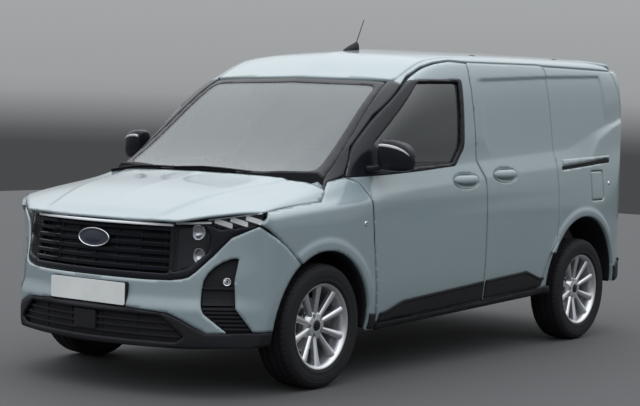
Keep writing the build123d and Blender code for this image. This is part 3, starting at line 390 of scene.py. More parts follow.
def pressing(y, z):
    """How far the side stands out of its section: it swells to a crease under the windows, drops in
    over a ledge above it, and stays sunk in the blind window panel behind the cab door."""
    crease = np.interp(y, *CREASE.T)
    ledge = np.interp(y, *LEDGE_TOP.T)
    swell = CREASE_OUT * smooth_step((z - crease + SWELL_BAND) / SWELL_BAND)
    drop = (CREASE_OUT + RECESS_DEPTH) * np.clip((z - crease) / (ledge - crease), 0, 1)
    behind = smooth_step((y - RECESS_FRONT) / 0.12)
    top = np.interp(y, *RECESS_TOP.T)
    rear = np.interp(z, *RECESS_REAR.T)
    window = behind * smooth_step((top + 0.003 - z) / 0.014) * smooth_step((rear + 0.004 - y) / 0.016)
    recovery = np.maximum(smooth_step((ledge + RECOVERY_BAND - z) / RECOVERY_BAND), window)
    above = -RECESS_DEPTH * np.where(z > ledge, recovery, 1.0)
    height = np.where(z <= crease, swell, np.where(z < ledge, CREASE_OUT - drop, above))
    return height * smooth_step((y + 1.25) / 0.45) * smooth_step((2.06 - y) / 0.10)


def flare(y, z):
    """How far a wheel arch's lip stands out, from the distance to the arch's middle."""
    front = smooth_step((FRONT_LIP_RADIUS - np.hypot(y - FRONT_ARCH[0], z - FRONT_ARCH[1])) / LIP_FADE)
    rear = smooth_step((REAR_LIP_RADIUS - np.hypot(y - REAR_ARCH[0], z - REAR_ARCH[1])) / LIP_FADE)
    return LIP_OUT * np.maximum(front, rear)


def side_skin(y, z):
    """Points of the left side over (y, z): the section's half width, kept inside the plan outline."""
    x = along_section(y, z, axis=1)
    x = softer(x, plan_half_width(y) + SKIN_SLACK)
    return np.stack([x + pressing(y, z) + flare(y, z), y, z], axis=1)


def top_skin(x, y):
    """Points of the roof or bonnet over (x, y)."""
    return np.stack([x, y, along_section(y, np.abs(x), axis=0)], axis=1)


def nose_run(x=None, y=None):
    """Distance round the plan outline from the middle of the nose to a half width x, or on the
    side to a place y."""
    if y is None:
        return float(np.sign(x) * np.interp(abs(x), plan[:widest // 2, 0], plan_run[:widest // 2]))
    return float(np.interp(y, plan[:widest, 1], plan_run[:widest]))


def nose_skin(run, z):
    """Points round the nose over (run, z): the plan outline, drawn in along its own normal where the
    face leans back, and kept inside the section. Negative runs are the van's right."""
    far = np.abs(run)
    x = np.interp(far, plan_run, plan[:, 0])
    y = np.interp(far, plan_run, plan[:, 1])
    heading = np.arctan2(np.interp(far + 0.01, plan_run, plan[:, 1]) - y,
                         np.interp(far + 0.01, plan_run, plan[:, 0]) - x)
    inset = smooth_rows(LEAN_Z, LEAN, z) * smooth_step((LEAN_END - far) / LEAN_FADE) - flare(y, z)
    x = x - inset * np.sin(heading)
    y = y + inset * np.cos(heading)
    x = softer(x, along_section(y, np.minimum(z, 0.80), axis=1) + 0.003)
    flat = (smooth_step((PLATE_FIELD_HALF - x) / 0.018) * smooth_step((z - PLATE_FIELD_LOW) / 0.008)
            * smooth_step((PLATE_FIELD_HIGH - z) / 0.008))
    y = y + flat * np.maximum(PLATE_FACE - y, 0)
    return np.stack([np.where(run < 0, -x, x), y, z], axis=1)


def tail_skin(x, z):
    """Points of the rear face over (x, z)."""
    rear = plan[widest:][::-1]
    y = np.interp(np.abs(x), rear[:, 0], rear[:, 1])
    y = softer(y, np.interp(z, TAIL_Z, TAIL_Y))
    return np.stack([x, y, z], axis=1)


def rounded(points, radius, steps=4):
    """An outline with each corner replaced by a short curve that starts and ends `radius` from it, or
    half way along a shorter edge. The curve is a parabola between the two edges."""
    points = np.asarray(points, float)
    before, after = np.roll(points, 1, axis=0), np.roll(points, -1, axis=0)
    to_before, to_after = before - points, after - points
    length_before = np.linalg.norm(to_before, axis=1, keepdims=True)
    length_after = np.linalg.norm(to_after, axis=1, keepdims=True)
    reach = np.broadcast_to(np.asarray(radius, float).reshape(-1, 1), (len(points), 1))
    start = points + to_before / length_before * np.minimum(reach, 0.45 * length_before)
    end = points + to_after / length_after * np.minimum(reach, 0.45 * length_after)
    share = np.linspace(0, 1, steps + 1).reshape(1, -1, 1)
    curve = ((1 - share) ** 2 * start[:, None] + 2 * share * (1 - share) * points[:, None]
             + share ** 2 * end[:, None])
    return curve.reshape(-1, 2)


def grid_cut(outline, holes, cell):
    """A square grid cut to an outline and its holes, as (u, v, faces, rim): cells whose middle is
    inside are kept, and the grid points on the edge of what is kept move onto the nearest outline."""
    loops = [np.asarray(loop, float) for loop in [outline, *holes]]
    a = np.concatenate(loops)
    b = np.concatenate([np.roll(loop, -1, axis=0) for loop in loops])
    low, high = loops[0].min(0) - cell, loops[0].max(0) + cell
    count = np.ceil((high - low) / cell).astype(int) + 1
    u, v = np.meshgrid(low[0] + cell * np.arange(count[0]), low[1] + cell * np.arange(count[1]),
                       indexing="ij")
    mid_u, mid_v = u[:-1, :-1] + cell / 2, v[:-1, :-1] + cell / 2
    crossed = (a[:, 1] > mid_v[..., None]) != (b[:, 1] > mid_v[..., None])
    rise = np.where(b[:, 1] == a[:, 1], 1.0, b[:, 1] - a[:, 1])
    at_u = a[:, 0] + (mid_v[..., None] - a[:, 1]) * (b[:, 0] - a[:, 0]) / rise
    kept = (crossed & (mid_u[..., None] < at_u)).sum(-1) % 2 == 1
    index = np.arange(u.size).reshape(u.shape)
    faces = np.stack([index[:-1, :-1], index[1:, :-1], index[1:, 1:], index[:-1, 1:]], -1)[kept]
    touching = np.zeros(u.shape, int)
    for i, j in ((0, 0), (1, 0), (1, 1), (0, 1)):
        touching[i:u.shape[0] - 1 + i, j:u.shape[1] - 1 + j] += kept
    used, inverse = np.unique(faces, return_inverse=True)
    faces = inverse.reshape(-1, 4)
    points = np.stack([u.ravel()[used], v.ravel()[used]], axis=1)
    rim = touching.ravel()[used] < 4
    edge = points[rim]
    along = b - a
    length = (along ** 2).sum(1)
    share = np.clip(((edge[:, None] - a) * along).sum(-1) / np.where(length > 0, length, 1), 0, 1)
    nearest = a + share[..., None] * along
    best = ((edge[:, None] - nearest) ** 2).sum(-1).argmin(1)
    points[rim] = nearest[np.arange(len(edge)), best]
    return points[:, 0], points[:, 1], faces, rim


SIDES = ("left", "right")
NORMAL_STEP = 0.002
MERGE_DISTANCE, SHORTEST_EDGE = 2e-5, 1e-5
OUTWARD = {side_skin: (1, 0, 0), top_skin: (0, 0, 1), nose_skin: (0, -1, 0), tail_skin: (0, 1, 0)}


def add_piece(name, shell, finish, body, thickness=None, smooth=True, closed=False):
    """A mesh object from a (points, faces) shell, riding on a body. A sheet is given its thickness
    inwards from the face that shows, and a closed shell has its faces turned outwards."""
    points, faces = shell
    mesh = bpy.data.meshes.new(name)
    mesh.from_pydata(points.tolist(), [], [list(face) for face in faces])
    work = bmesh.new()
    work.from_mesh(mesh)
    bmesh.ops.remove_doubles(work, verts=work.verts, dist=MERGE_DISTANCE)
    bmesh.ops.dissolve_degenerate(work, edges=work.edges, dist=SHORTEST_EDGE)
    if closed:
        bmesh.ops.recalc_face_normals(work, faces=work.faces)
    work.to_mesh(mesh)
    work.free()
    mesh.materials.append(finish)
    if smooth:
        mesh.polygons.foreach_set("use_smooth", np.ones(len(mesh.polygons), bool))
    piece = bpy.data.objects.new(name, mesh)
    scene.collection.objects.link(piece)
    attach(piece, body)
    if thickness is not None:
        solidify = piece.modifiers.new("wall", "SOLIDIFY")
        solidify.thickness = thickness
        solidify.offset = -1
    return piece


def skin_normals(skin, u, v):
    """Points of a skin, its outward unit normals there, and whether its grid faces inwards."""
    points = skin(u, v)
    normal = np.cross(skin(u + NORMAL_STEP, v) - points, skin(u, v + NORMAL_STEP) - points)
    normal /= np.linalg.norm(normal, axis=1, keepdims=True)
    inwards = (normal @ np.asarray(OUTWARD[skin], float)).mean() < 0
    return points, -normal if inwards else normal, inwards


def skin_panel(skin, outline, holes=(), cell=0.014, proud=0.0, sink=0.0012):
    """A panel cut from a skin, as (points, faces): its edge sinks a little, as a folded edge does."""
    u, v, faces, rim = grid_cut(outline, holes, cell)
    points, normal, inwards = skin_normals(skin, u, v)
    return points + normal * (proud - sink * rim)[:, None], faces[:, ::-1] if inwards else faces


def lifted(skin, u, v, height):
    """Points of a skin moved along its outward normal by a height for each point."""
    points, normal, _ = skin_normals(skin, u, v)
    return points + normal * np.asarray(height).reshape(-1, 1)


def ring(count):
    """Angles at even steps round a full turn."""
    return np.linspace(0, 2 * math.pi, count + 1)[:-1]


def grid_points(*coordinates):
    """Points from three arrays that spread over one grid."""
    return np.stack(np.broadcast_arrays(*coordinates), axis=-1).reshape(-1, 3)


def sheet_faces(rows, columns):
    """Faces of an open grid of points."""
    index = np.arange(rows * columns).reshape(rows, columns)
    return np.stack([index[:-1, :-1], index[1:, :-1], index[1:, 1:], index[:-1, 1:]], -1).reshape(-1, 4)


def tube_faces(rows, columns, ends="both"):
    """Faces round a row of rings. Its ends are closed (both, or only the first or the last) or left
    open (open), or it comes round to its own start (loop)."""
    index = np.arange(rows * columns).reshape(rows, columns)
    corners = [index, np.roll(index, -1, 0), np.roll(index, -1, (0, 1)), np.roll(index, -1, 1)]
    if ends != "loop":
        corners = [corner[:-1] for corner in corners]
    closing = {"first": [index[0]], "last": [index[-1]], "both": [index[0], index[-1, ::-1]]}
    caps = [cap.tolist() for cap in closing.get(ends, [])]
    return np.stack(corners, -1).reshape(-1, 4).tolist() + caps


def on_skin(skin, u, v, height, ends="both"):
    """A tube of rings over a skin, at heights off it, as (points, faces)."""
    u, v, height = np.broadcast_arrays(u, v, height)
    return lifted(skin, u.ravel(), v.ravel(), height.ravel()), tube_faces(*u.shape, ends)


def moulding(skin, u, v_middle, section, lift=0.0):
    """A closed bar carried along a skin: its section is (rise across the bar, height off the skin),
    and lift adds to the height along the way."""
    across, height = np.asarray(section, float).T
    v_middle, lift = (np.broadcast_to(value, (len(u),))[:, None] for value in (v_middle, lift))
    return on_skin(skin, u[:, None], v_middle + across, lift + height)


def flat_bar(half, low, high):
    """The section of a plain bar: its half width, and its lowest and highest height off the skin."""
    return [(half, low), (half, high), (-half, high), (-half, low)]


def joined(*shells):
    """Several (points, faces) shells as one."""
    points, faces, count = [], [], 0
    for shell_points, shell_faces in shells:
        points.append(shell_points)
        faces += [[corner + count for corner in face] for face in shell_faces]
        count += len(shell_points)
    return np.concatenate(points), faces


def flipped(shell):
    """A shell's mirror image on the other side of the van, its faces turned to point outwards again."""
    points, faces = shell
    return points * (-1, 1, 1), [list(face)[::-1] for face in faces]


def to_side(side, shell):
    """A shell of the left side, as it is or flipped to the right."""
    return flipped(shell) if side == "right" else shell


def both_sides(*shells):
    """Shells of the left side together with their mirror images."""
    shell = joined(*shells)
    return joined(shell, flipped(shell))


def whole_width(half):
    """A half outline from the van's middle round its left side, closed by its mirror image."""
    half = [tuple(point) for point in half]
    return half + [(-u, v) for u, v in half[::-1] if abs(u) > 1e-9]


def oval(u, v, half_u, half_v, turn=ring(40)):
    """The outline of an oval."""
    return np.stack([u + half_u * np.cos(turn), v + half_v * np.sin(turn)], axis=1)


def arch(centre, radius, start, end, count=40):
    """Points on a wheel arch, by angle in degrees from straight back."""
    turn = np.radians(np.linspace(start, end, count))
    return np.stack([centre[0] + radius * np.cos(turn), centre[1] + radius * np.sin(turn)], axis=1)


# Roof: one painted steel pressing between the two roof seams, from the head of the windscreen to the
# rear doors. Its corners are round and its edge folds down into the seam.
ROOF_SEAM = 0.655
ROOF_EDGE = ROOF_SEAM - 0.003
ROOF_HALF = [(0, -0.484), (0.3, -0.478), (ROOF_EDGE, -0.452), (ROOF_EDGE, 2.008)]
roof_outline = rounded(whole_width(ROOF_HALF), 0.02)
roof = add_piece("roof_skin", skin_panel(top_skin, roof_outline, cell=0.02), paint, "root", thickness=0.03)
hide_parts("roof_panel")

# Body sides: a painted steel rear quarter a side, welded to the roof and the floor, with openings for
# the slide rail and, on the left only, the fuel flap.
DOOR_TOP = [(0.182, 1.716), (0.024, 1.722), (-0.132, 1.703), (-0.250, 1.676), (-0.377, 1.622),
            (-0.489, 1.556), (-0.730, 1.400), (-0.947, 1.228), (-1.066, 1.078)]
QUARTER = np.concatenate([
    [(1.026, 1.722), (1.036, 1.700), (1.038, 1.433), (1.034, 1.150), (1.024, 0.760), (1.007, 0.640),
     (0.939, 0.575)],
    arch(REAR_ARCH, REAR_ARCH_RADIUS, 151, -3),
    [(1.775, 0.345), (2.060, 0.366), (2.078, 0.560), (2.076, 1.000), (2.060, 1.250), (2.010, 1.500),
     (1.962, 1.690), (1.940, 1.722)]])
FLAP = [(1.453, 0.884), (1.600, 0.884), (1.617, 0.900), (1.617, 1.075), (1.453, 1.075)]
RAIL = [(1.088, 1.083), (1.722, 1.127), (1.722, 1.151), (1.088, 1.107)]
for side, holes in (("left", [rounded(FLAP, 0.012), RAIL]), ("right", [RAIL])):
    quarter_shell = to_side(side, skin_panel(side_skin, QUARTER, holes, cell=0.010))
    quarter = add_piece("rear_quarter_" + side, quarter_shell, paint, "root", thickness=0.05)

# Sills: a grained black plastic moulding a side under the doors, clipped over the welded sill box of
# the body.
SILL = [(-0.852, 0.259), (0.875, 0.325), (0.960, 0.330), (0.945, 0.372), (0.185, 0.333), (-0.852, 0.294)]
sill = add_piece("sills", both_sides(skin_panel(side_skin, SILL)), black_plastic, "root", thickness=0.05)


def top_strip(y, x_low, x_high, columns=9):
    """A strip of the top skin along y, from one half width to another, as (points, faces)."""
    x = x_low[:, None] + (x_high - x_low)[:, None] * np.linspace(0, 1, columns)
    return top_skin(x.ravel(), np.repeat(y, columns)), sheet_faces(*x.shape)


# Rails over the doors: the painted steel edge of each body side, pressed in one with it, from the
# door tops up to the roof seam.
RAIL_FOOT_Y = [-0.489, -0.377, -0.250, -0.132, 0.024, 0.182, 0.980, 1.028, 1.940]
RAIL_FOOT_Z = [1.562, 1.628, 1.682, 1.709, 1.728, 1.722, 1.733, 1.728, 1.727]
rail_y = np.linspace(-0.469, 1.940, 160)
rail_foot_x = side_skin(rail_y, np.interp(rail_y, RAIL_FOOT_Y, RAIL_FOOT_Z))[:, 0]
rail_shell = top_strip(rail_y, rail_foot_x, ROOF_SEAM + 0.002)
rails = add_piece("roof_rails", both_sides(rail_shell), paint, "root", thickness=0.03)

# Windscreen pillars: gloss black moulded covers between the glass and the cab door, clipped over the
# steel pillars.
PILLAR_FOOT = [(-1.262, 1.004), (-1.236, 1.020), (-1.190, 1.050), (-1.072, 1.070)] + DOOR_TOP[::-1]
SCREEN_EDGE_Y = [-1.262, -1.196, -1.068, -0.767, -0.480, -0.395]
SCREEN_EDGE_X = [0.792, 0.744, 0.722, 0.671, 0.624, 0.640]
pillar_y = np.linspace(-1.262, -0.472, 70)
pillar_foot_x = side_skin(pillar_y, np.interp(pillar_y, *np.transpose(PILLAR_FOOT)) + 0.005)[:, 0]
pillar_shell = top_strip(pillar_y, pillar_foot_x, np.interp(pillar_y, SCREEN_EDGE_Y, SCREEN_EDGE_X))
pillars = add_piece("screen_pillars", both_sides(pillar_shell), black_gloss, "root", thickness=0.03)

# Windscreen: one curved pane of laminated glass with a light grey tint, bonded to the body between
# the pillars.
SCREEN = [(0, -1.288), (0.400, -1.270), (0.738, -1.194), (0.620, -0.484), (0.300, -0.492), (0, -0.495)]
screen_outline = rounded(whole_width(SCREEN), 0.03)
screen = add_piece("windscreen_glass", skin_panel(top_skin, screen_outline, cell=0.02, proud=-0.002),
                   screen_glass, "root", thickness=0.005)
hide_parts("windscreen")

# Printed band: the black edge printed round the windscreen to hide its glue, made as a thin sheet
# just over the glass.
SCREEN_VIEW = [(0, -1.262), (0.380, -1.244), (0.668, -1.165), (0.585, -0.535), (0.300, -0.543), (0, -0.546)]
view_outline = rounded(whole_width(SCREEN_VIEW), 0.05)
screen_band = add_piece("screen_band", skin_panel(top_skin, screen_outline, [view_outline], proud=-0.0005),
                        black_gloss, "root", thickness=0.001)

# Loading doors: a painted steel pressing each side with a large shallow recess, cut out for the cup
# of its handle.
LOAD_DOOR = [(0.190, 0.338), (0.842, 0.374), (0.876, 0.468), (0.931, 0.574), (1.000, 0.640), (1.018, 0.760),
             (1.029, 1.150), (1.033, 1.433), (1.031, 1.700), (1.021, 1.728), (0.980, 1.729), (0.188, 1.717),
             (0.167, 1.618), (0.143, 1.144), (0.193, 1.040), (0.192, 0.700)]
LOAD_HANDLE = (0.408, 1.064, 0.132, 0.043)
load_door_shell = skin_panel(side_skin, rounded(LOAD_DOOR, 0.010), [oval(*LOAD_HANDLE)], cell=0.010)
load_door = add_piece("loading_doors", both_sides(load_door_shell), paint, "root", thickness=0.05)
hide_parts("side_doors")

# Front wings: painted steel pressings from the headlamp to the cab door, cut round the wheel arch and
# bolted on under the bonnet's edge.
WING = np.concatenate([
    arch(FRONT_ARCH, FRONT_ARCH_RADIUS, 121.4, -8),
    [(-0.874, 0.262), (-0.873, 0.338), (-0.934, 0.748), (-0.951, 0.970), (-0.984, 1.043), (-1.072, 1.072),
     (-1.190, 1.052), (-1.236, 1.022), (-1.325, 0.957), (-1.500, 0.948), (-1.771, 0.918), (-1.822, 0.858),
     (-1.666, 0.747), (-1.560, 0.668)]])
wing_shell = skin_panel(side_skin, WING, cell=0.012)
wing = add_piece("wings", both_sides(wing_shell), paint, "root", thickness=0.03)
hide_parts("front_wings")

# Bonnet: one painted steel pressing with a raised middle between two creases, hinged at its rear
# edge.
BONNET = [(0, -2.106), (0.250, -2.098), (0.527, -2.068), (0.700, -1.925), (0.836, -1.797),
          (0.839, -1.771), (0.838, -1.345), (0.828, -1.296), (0.803, -1.248), (0.775, -1.262),
          (0.480, -1.320), (0, -1.340)]
BONNET_RISE = 0.009


def bonnet_top(x, y):
    """Points of the bonnet: the top skin with a raised middle between two creases that spread
    towards the windscreen."""
    points = top_skin(x, y)
    edge = np.interp(y, [-2.10, -1.34], [0.405, 0.600])
    points[:, 2] += BONNET_RISE * smooth_step((edge - np.abs(x)) / 0.045) * smooth_step((y + 2.09) / 0.10)
    return points


OUTWARD[bonnet_top] = (0, 0, 1)
bonnet_shell = skin_panel(bonnet_top, rounded(whole_width(BONNET), 0.03), cell=0.012)
bonnet = add_piece("bonnet_skin", bonnet_shell, paint, "bonnet", thickness=0.012)
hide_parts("bonnet")

# Cab doors: a pressed skin with its window frame, and the glass in a black surround that runs on to
# the door's front edge. The pane lies a little inside both.
DOOR = [(-0.861, 0.302), (0.180, 0.341), (0.182, 1.040), (0.132, 1.144), (0.156, 1.618), (0.177, 1.711),
        (0.024, 1.717), (-0.132, 1.698), (-0.250, 1.671), (-0.377, 1.617), (-0.489, 1.551),
        (-0.730, 1.395), (-0.947, 1.223), (-1.058, 1.076), (-0.973, 1.037), (-0.938, 0.970),
        (-0.921, 0.748), (-0.860, 0.338)]
DOOR_ROUNDING = [0.01] * 7 + [0.08, 0.08, 0.10, 0.12, 0.10, 0.07, 0.012, 0.03, 0.03, 0.03, 0.01]
WINDOW = [(-0.553, 1.117), (-0.121, 1.140), (-0.044, 1.214), (-0.026, 1.245), (0.004, 1.399),
          (0.029, 1.600), (-0.354, 1.589), (-0.820, 1.245), (-0.720, 1.190)]
WINDOW_CUT = [(-0.850, 1.104), (-0.115, 1.131), (-0.030, 1.208), (-0.012, 1.243), (0.016, 1.399),
              (0.043, 1.611), (-0.408, 1.596), (-0.850, 1.286)]
CAB_HANDLE = (-0.022, 1.038, 0.134, 0.044)
SURROUND_BACK = [(-0.812, 1.079), (-0.450, 1.099), (-0.093, 1.123), (0.014, 1.226), (0.040, 1.390),
                 (0.072, 1.620), (-0.300, 1.605)]
SURROUND_ROUNDING = [0.001, 0.001, 0.02, 0.03, 0.2, 0.025, 0.001]
door_outline = rounded(DOOR, DOOR_ROUNDING)
front_edge = door_outline[(door_outline[:, 0] < -0.430) & (door_outline[:, 1] > 1.070)]
surround_back = rounded(SURROUND_BACK, SURROUND_ROUNDING)
surround_outline = np.concatenate([surround_back, [(-0.398, 1.598)], front_edge])
door_shell = skin_panel(side_skin, door_outline, [rounded(WINDOW_CUT, 0.02), oval(*CAB_HANDLE)], cell=0.010)
surround_shell = skin_panel(side_skin, surround_outline, [rounded(WINDOW, 0.018)], cell=0.009, proud=0.002)
pane_shell = skin_panel(side_skin, rounded(WINDOW_CUT, 0.02), cell=0.025, proud=-0.012, sink=0)
for side in SIDES:
    body = "front_door_" + side
    door = add_piece("cab_door_" + side, to_side(side, door_shell), paint, body, thickness=0.045)
    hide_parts("front_door_" + side)
    surround = add_piece("window_frame_" + side, to_side(side, surround_shell), black_gloss, body,
                         thickness=0.012)
    pane = add_piece("door_pane_" + side, to_side(side, pane_shell), glass, body, thickness=0.004)
    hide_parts("door_glass_" + side)

# Front bumper: a painted moulding round the nose, from the foot of the grille surround to the dark
# skirt, cut out at each corner for the vent and ended at the wheel arch by a rising seam.
arch_edge = arch(FRONT_ARCH, FRONT_ARCH_RADIUS + 0.001, 122, 178.5, 20)
SURROUND_FOOT = [(0, 0.572), (0.367, 0.570), (0.500, 0.573), (0.563, 0.582), (0.603, 0.593),
                 (0.643, 0.618), (0.727, 0.696), (0.814, 0.788), (0.944, 0.846)]
BUMPER_SEAM = [(-1.825, 0.8515), (-1.666, 0.7440), (-1.560, 0.6640)]
VENT_EDGE = [(0.926, 0.333), (0.838, 0.446), (0.832, 0.583), (0.853, 0.692), (0.812, 0.686),
             (0.775, 0.671), (0.735, 0.646), (0.703, 0.615), (0.682, 0.577), (0.673, 0.530),
             (0.670, 0.470), (0.672, 0.443), (0.684, 0.416), (0.800, 0.326)]
SKIRT_TOP = [(0.700, 0.324), (0.575, 0.388), (0.497, 0.418), (0.268, 0.434), (0, 0.437)]
bumper_end = [(nose_run(y=y), z) for y, z in [*BUMPER_SEAM, *arch_edge]]
bumper_half = SURROUND_FOOT + bumper_end + [(1.046, 0.332)] + VENT_EDGE + SKIRT_TOP
bumper_shell = skin_panel(nose_skin, whole_width(bumper_half), cell=0.011)
bumper = add_piece("bumper_skin", bumper_shell, paint, "root", thickness=0.02)
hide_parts("front_bumper")

# Grille and lamp surround: one gloss black moulding let into the bumper, with openings for the
# grille and the lamps.
GRILLE_HALF = 0.487
GRILLE_LOW = 0.606
GRILLE_HIGH = 0.838
LAMP = [(0.501, 0.836), (0.680, 0.842), (0.714, 0.787), (0.706, 0.718), (0.606, 0.640), (0.501, 0.612)]
LAMP_STRIP = [(0.503, 0.858), (0.679, 0.873), (0.985, 0.921), (0.941, 0.853), (0.823, 0.836),
              (0.759, 0.828), (0.712, 0.850), (0.503, 0.843)]
surround_half = [(0, 0.576), (0.367, 0.574), (0.500, 0.577), (0.562, 0.586), (0.601, 0.597),
                 (0.640, 0.622), (0.724, 0.700), (0.811, 0.792), (0.940, 0.850), (0.992, 0.922),
                 (0.871, 0.904), (0.631, 0.872), (0.363, 0.864), (0, 0.866)]
GRILLE_CORNERS = whole_width([(GRILLE_HALF, GRILLE_LOW), (GRILLE_HALF - 0.004, GRILLE_HIGH)])
grille_hole = rounded(GRILLE_CORNERS, 0.02)
lamp_holes = [rounded(shape, 0.012) for shape in (LAMP, LAMP_STRIP)]
lamp_holes += [[(-u, v) for u, v in hole[::-1]] for hole in lamp_holes]
surround_shell = skin_panel(nose_skin, whole_width(surround_half), [grille_hole, *lamp_holes], cell=0.009,
                            proud=-0.004)
surround = add_piece("grille_surround", surround_shell, black_gloss, "root", thickness=0.03)

# Grille: dark plastic, clipped into the surround. Six bars step forward near their ends over a dark
# backing with upright slats, and a bright strip runs along the top.
BAR_COUNT = 6
BAR_SECTION = [(0.013, -0.016), (0.013, -0.001), (0.009, 0.003), (-0.006, -0.002), (-0.010, -0.007),
               (-0.010, -0.016)]
STRIP_SECTION = [(0.007, -0.008), (0.007, 0.006), (0.004, 0.008), (-0.004, 0.008), (-0.006, 0.006),
                 (-0.006, -0.008)]
bar_run = np.linspace(-GRILLE_HALF - 0.002, GRILLE_HALF + 0.002, 91)
bar_pitch = (GRILLE_HIGH - GRILLE_LOW) / BAR_COUNT
bar_lift = -0.020 + 0.014 * smooth_step((np.abs(bar_run) - 0.290) / 0.030)
bars = [moulding(nose_skin, bar_run, GRILLE_LOW + bar_pitch * (row + 0.5), BAR_SECTION, bar_lift)
        for row in range(BAR_COUNT)]
slats = [moulding(nose_skin, np.linspace(run - 0.003, run + 0.003, 3), (GRILLE_LOW + GRILLE_HIGH) / 2,
                  flat_bar(0.116, -0.042, -0.036)) for run in np.arange(-0.45, 0.46, 0.15)]
grille = add_piece("grille_bars", joined(*bars, *slats), black_gloss, "root", smooth=False, closed=True)
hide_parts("grille")
backing = add_piece("grille_backing", skin_panel(nose_skin, grille_hole, cell=0.03, proud=-0.045, sink=0),
                    black_plastic, "root", thickness=0.004)
bright_bar = moulded("bright_bar", (0.74, 0.76, 0.80), 0.20, depth=0.0, coat=0.3)
strip_shell = moulding(nose_skin, np.linspace(-0.500, 0.500, 81), 0.841, STRIP_SECTION)
bright_strip = add_piece("bright_strip", strip_shell, bright_bar, "root", closed=True)

# Plain oval in the middle of the grille: a bare domed dark moulding over the bars, with a bright
# metal rim round it.
BADGE_Z = 0.757
BADGE_HALF = 0.110
BADGE_HALF_Z = 0.045
BADGE_RIM = 0.0035
BADGE_SUNK = 0.014
BADGE_RINGS = [(1.0, -0.016), (1.0, 0.004), (0.97, 0.007), (0.90, 0.006), (0.60, 0.008), (0.0, 0.009)]
badge_turn = ring(48)
badge_share, badge_height = np.transpose(BADGE_RINGS)[:, :, None]
badge_shell = on_skin(nose_skin, BADGE_HALF * badge_share * np.cos(badge_turn),
                      BADGE_Z + BADGE_HALF_Z * badge_share * np.sin(badge_turn),
                      badge_height - BADGE_SUNK, ends="first")
badge_blue = moulded("badge_face", (0.012, 0.016, 0.030), 0.20, depth=0.02, coat=0.5)
badge = add_piece("blank_badge", badge_shell, badge_blue, "root", closed=True)
rim_turn = ring(8)
rim_shell = on_skin(nose_skin, (BADGE_HALF + BADGE_RIM * np.cos(rim_turn)) * np.cos(badge_turn)[:, None],
                    BADGE_Z + (BADGE_HALF_Z + BADGE_RIM * np.cos(rim_turn)) * np.sin(badge_turn)[:, None],
                    -0.008 + BADGE_RIM * np.sin(rim_turn), ends="loop")
badge_rim = add_piece("badge_rim", rim_shell, chrome, "root", closed=True)

# Headlamps: a clear plastic cover over a dark housing with two bright reflectors, and above it a slim
# cover over slanted light bars, a line along their top and a strip towards the middle of the nose.
LAMP_BOWLS = ((0.650, 0.812, 0.036, 0.038), (0.655, 0.700, 0.030, 0.036))
BAR_STARTS = (0.730, 0.805, 0.880)


def reflector(run, z, half_run, half_z):
    """A bowl in the nose skin: an oval whose depth grows with the square of the way to its middle."""
    share = np.linspace(1, 0.02, 8)[:, None]
    turn = ring(32)
    return on_skin(nose_skin, run + half_run * share * np.cos(turn), z + half_z * share * np.sin(turn),
                   -0.010 - 0.022 * (1 - share ** 2), ends="last")


lens_shells = [skin_panel(nose_skin, shape, cell=0.012, proud=-0.003, sink=0) for shape in lamp_holes]
lens = add_piece("lamp_covers", joined(*lens_shells), lamp_lens, "root", thickness=0.003)
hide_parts("headlamps")
housing_shells = [skin_panel(nose_skin, shape, cell=0.02, proud=-0.040, sink=0) for shape in lamp_holes]
housing = add_piece("lamp_housings", joined(*housing_shells), black_gloss, "root", thickness=0.004)
lamp_bowl = moulded("lamp_bowl", (0.60, 0.62, 0.66), 0.16, depth=0.0, metal=0.9)
bowls = [reflector(side * run, *bowl) for side in (1, -1) for run, *bowl in LAMP_BOWLS]
reflectors = add_piece("lamp_reflectors", joined(*bowls), lamp_bowl, "root", thickness=0.0015)
light_bars = []
for side in (1, -1):
    for start in BAR_STARTS:
        slant_v = np.linspace(0.872, 0.846, 7) + 0.12 * (start - BAR_STARTS[0])
        light_bars.append(moulding(nose_skin, side * np.linspace(start, start + 0.085, 7), slant_v,
                                   flat_bar(0.013, -0.014, -0.008)))
    top_share = np.linspace(0, 1, 15)
    light_bars.append(moulding(nose_skin, side * (0.700 + 0.260 * top_share), 0.873 + 0.040 * top_share,
                               flat_bar(0.003, -0.012, -0.005)))
    strip_run = np.linspace(0.508, 0.715, 13)
    light_bars.append(moulding(nose_skin, side * strip_run, 0.850 + 0.008 * (strip_run - 0.508) / 0.2,
                               [(0.006, -0.014), (0.006, -0.005), (-0.004, -0.005), (-0.004, -0.014)]))
light_guide = moulded("light_guide", (0.82, 0.84, 0.86), 0.30, depth=0.02, coat=0.5)
guides = add_piece("light_guides", joined(*light_bars), light_guide, "root", smooth=False, closed=True)

# Corner vents: a grained dark moulding set back in each corner of the bumper, with a round fog lamp
# and ribs across its foot.
VENT = [(0.922, 0.329), (0.835, 0.446), (0.829, 0.583), (0.849, 0.688), (0.812, 0.682), (0.777, 0.667),
        (0.738, 0.643), (0.707, 0.612), (0.687, 0.576), (0.678, 0.530), (0.675, 0.470), (0.677, 0.443),
        (0.688, 0.419), (0.804, 0.325)]
RIB_SECTION = [(0.004, -0.03), (0.003, -0.012), (-0.003, -0.012), (-0.004, -0.03)]
SLANT_SECTION = [(0.004, -0.03), (0.002, -0.014), (-0.006, -0.014), (-0.010, -0.03)]
vent_shells = [skin_panel(nose_skin, VENT, cell=0.012, proud=-0.028, sink=0)]
for rib_v in 0.345 + 0.020 * np.arange(6):
    rib_start = np.interp(rib_v, [0.325, 0.419, 0.443], [0.806, 0.690, 0.680])
    rib_end = np.interp(rib_v, [0.329, 0.446], [0.920, 0.836])
    vent_shells.append(moulding(nose_skin, np.linspace(rib_start, rib_end, 9), rib_v, RIB_SECTION))
for rib_v in (0.470, 0.545):
    vent_shells.append(moulding(nose_skin, np.linspace(0.680, 0.830, 11), rib_v, SLANT_SECTION))
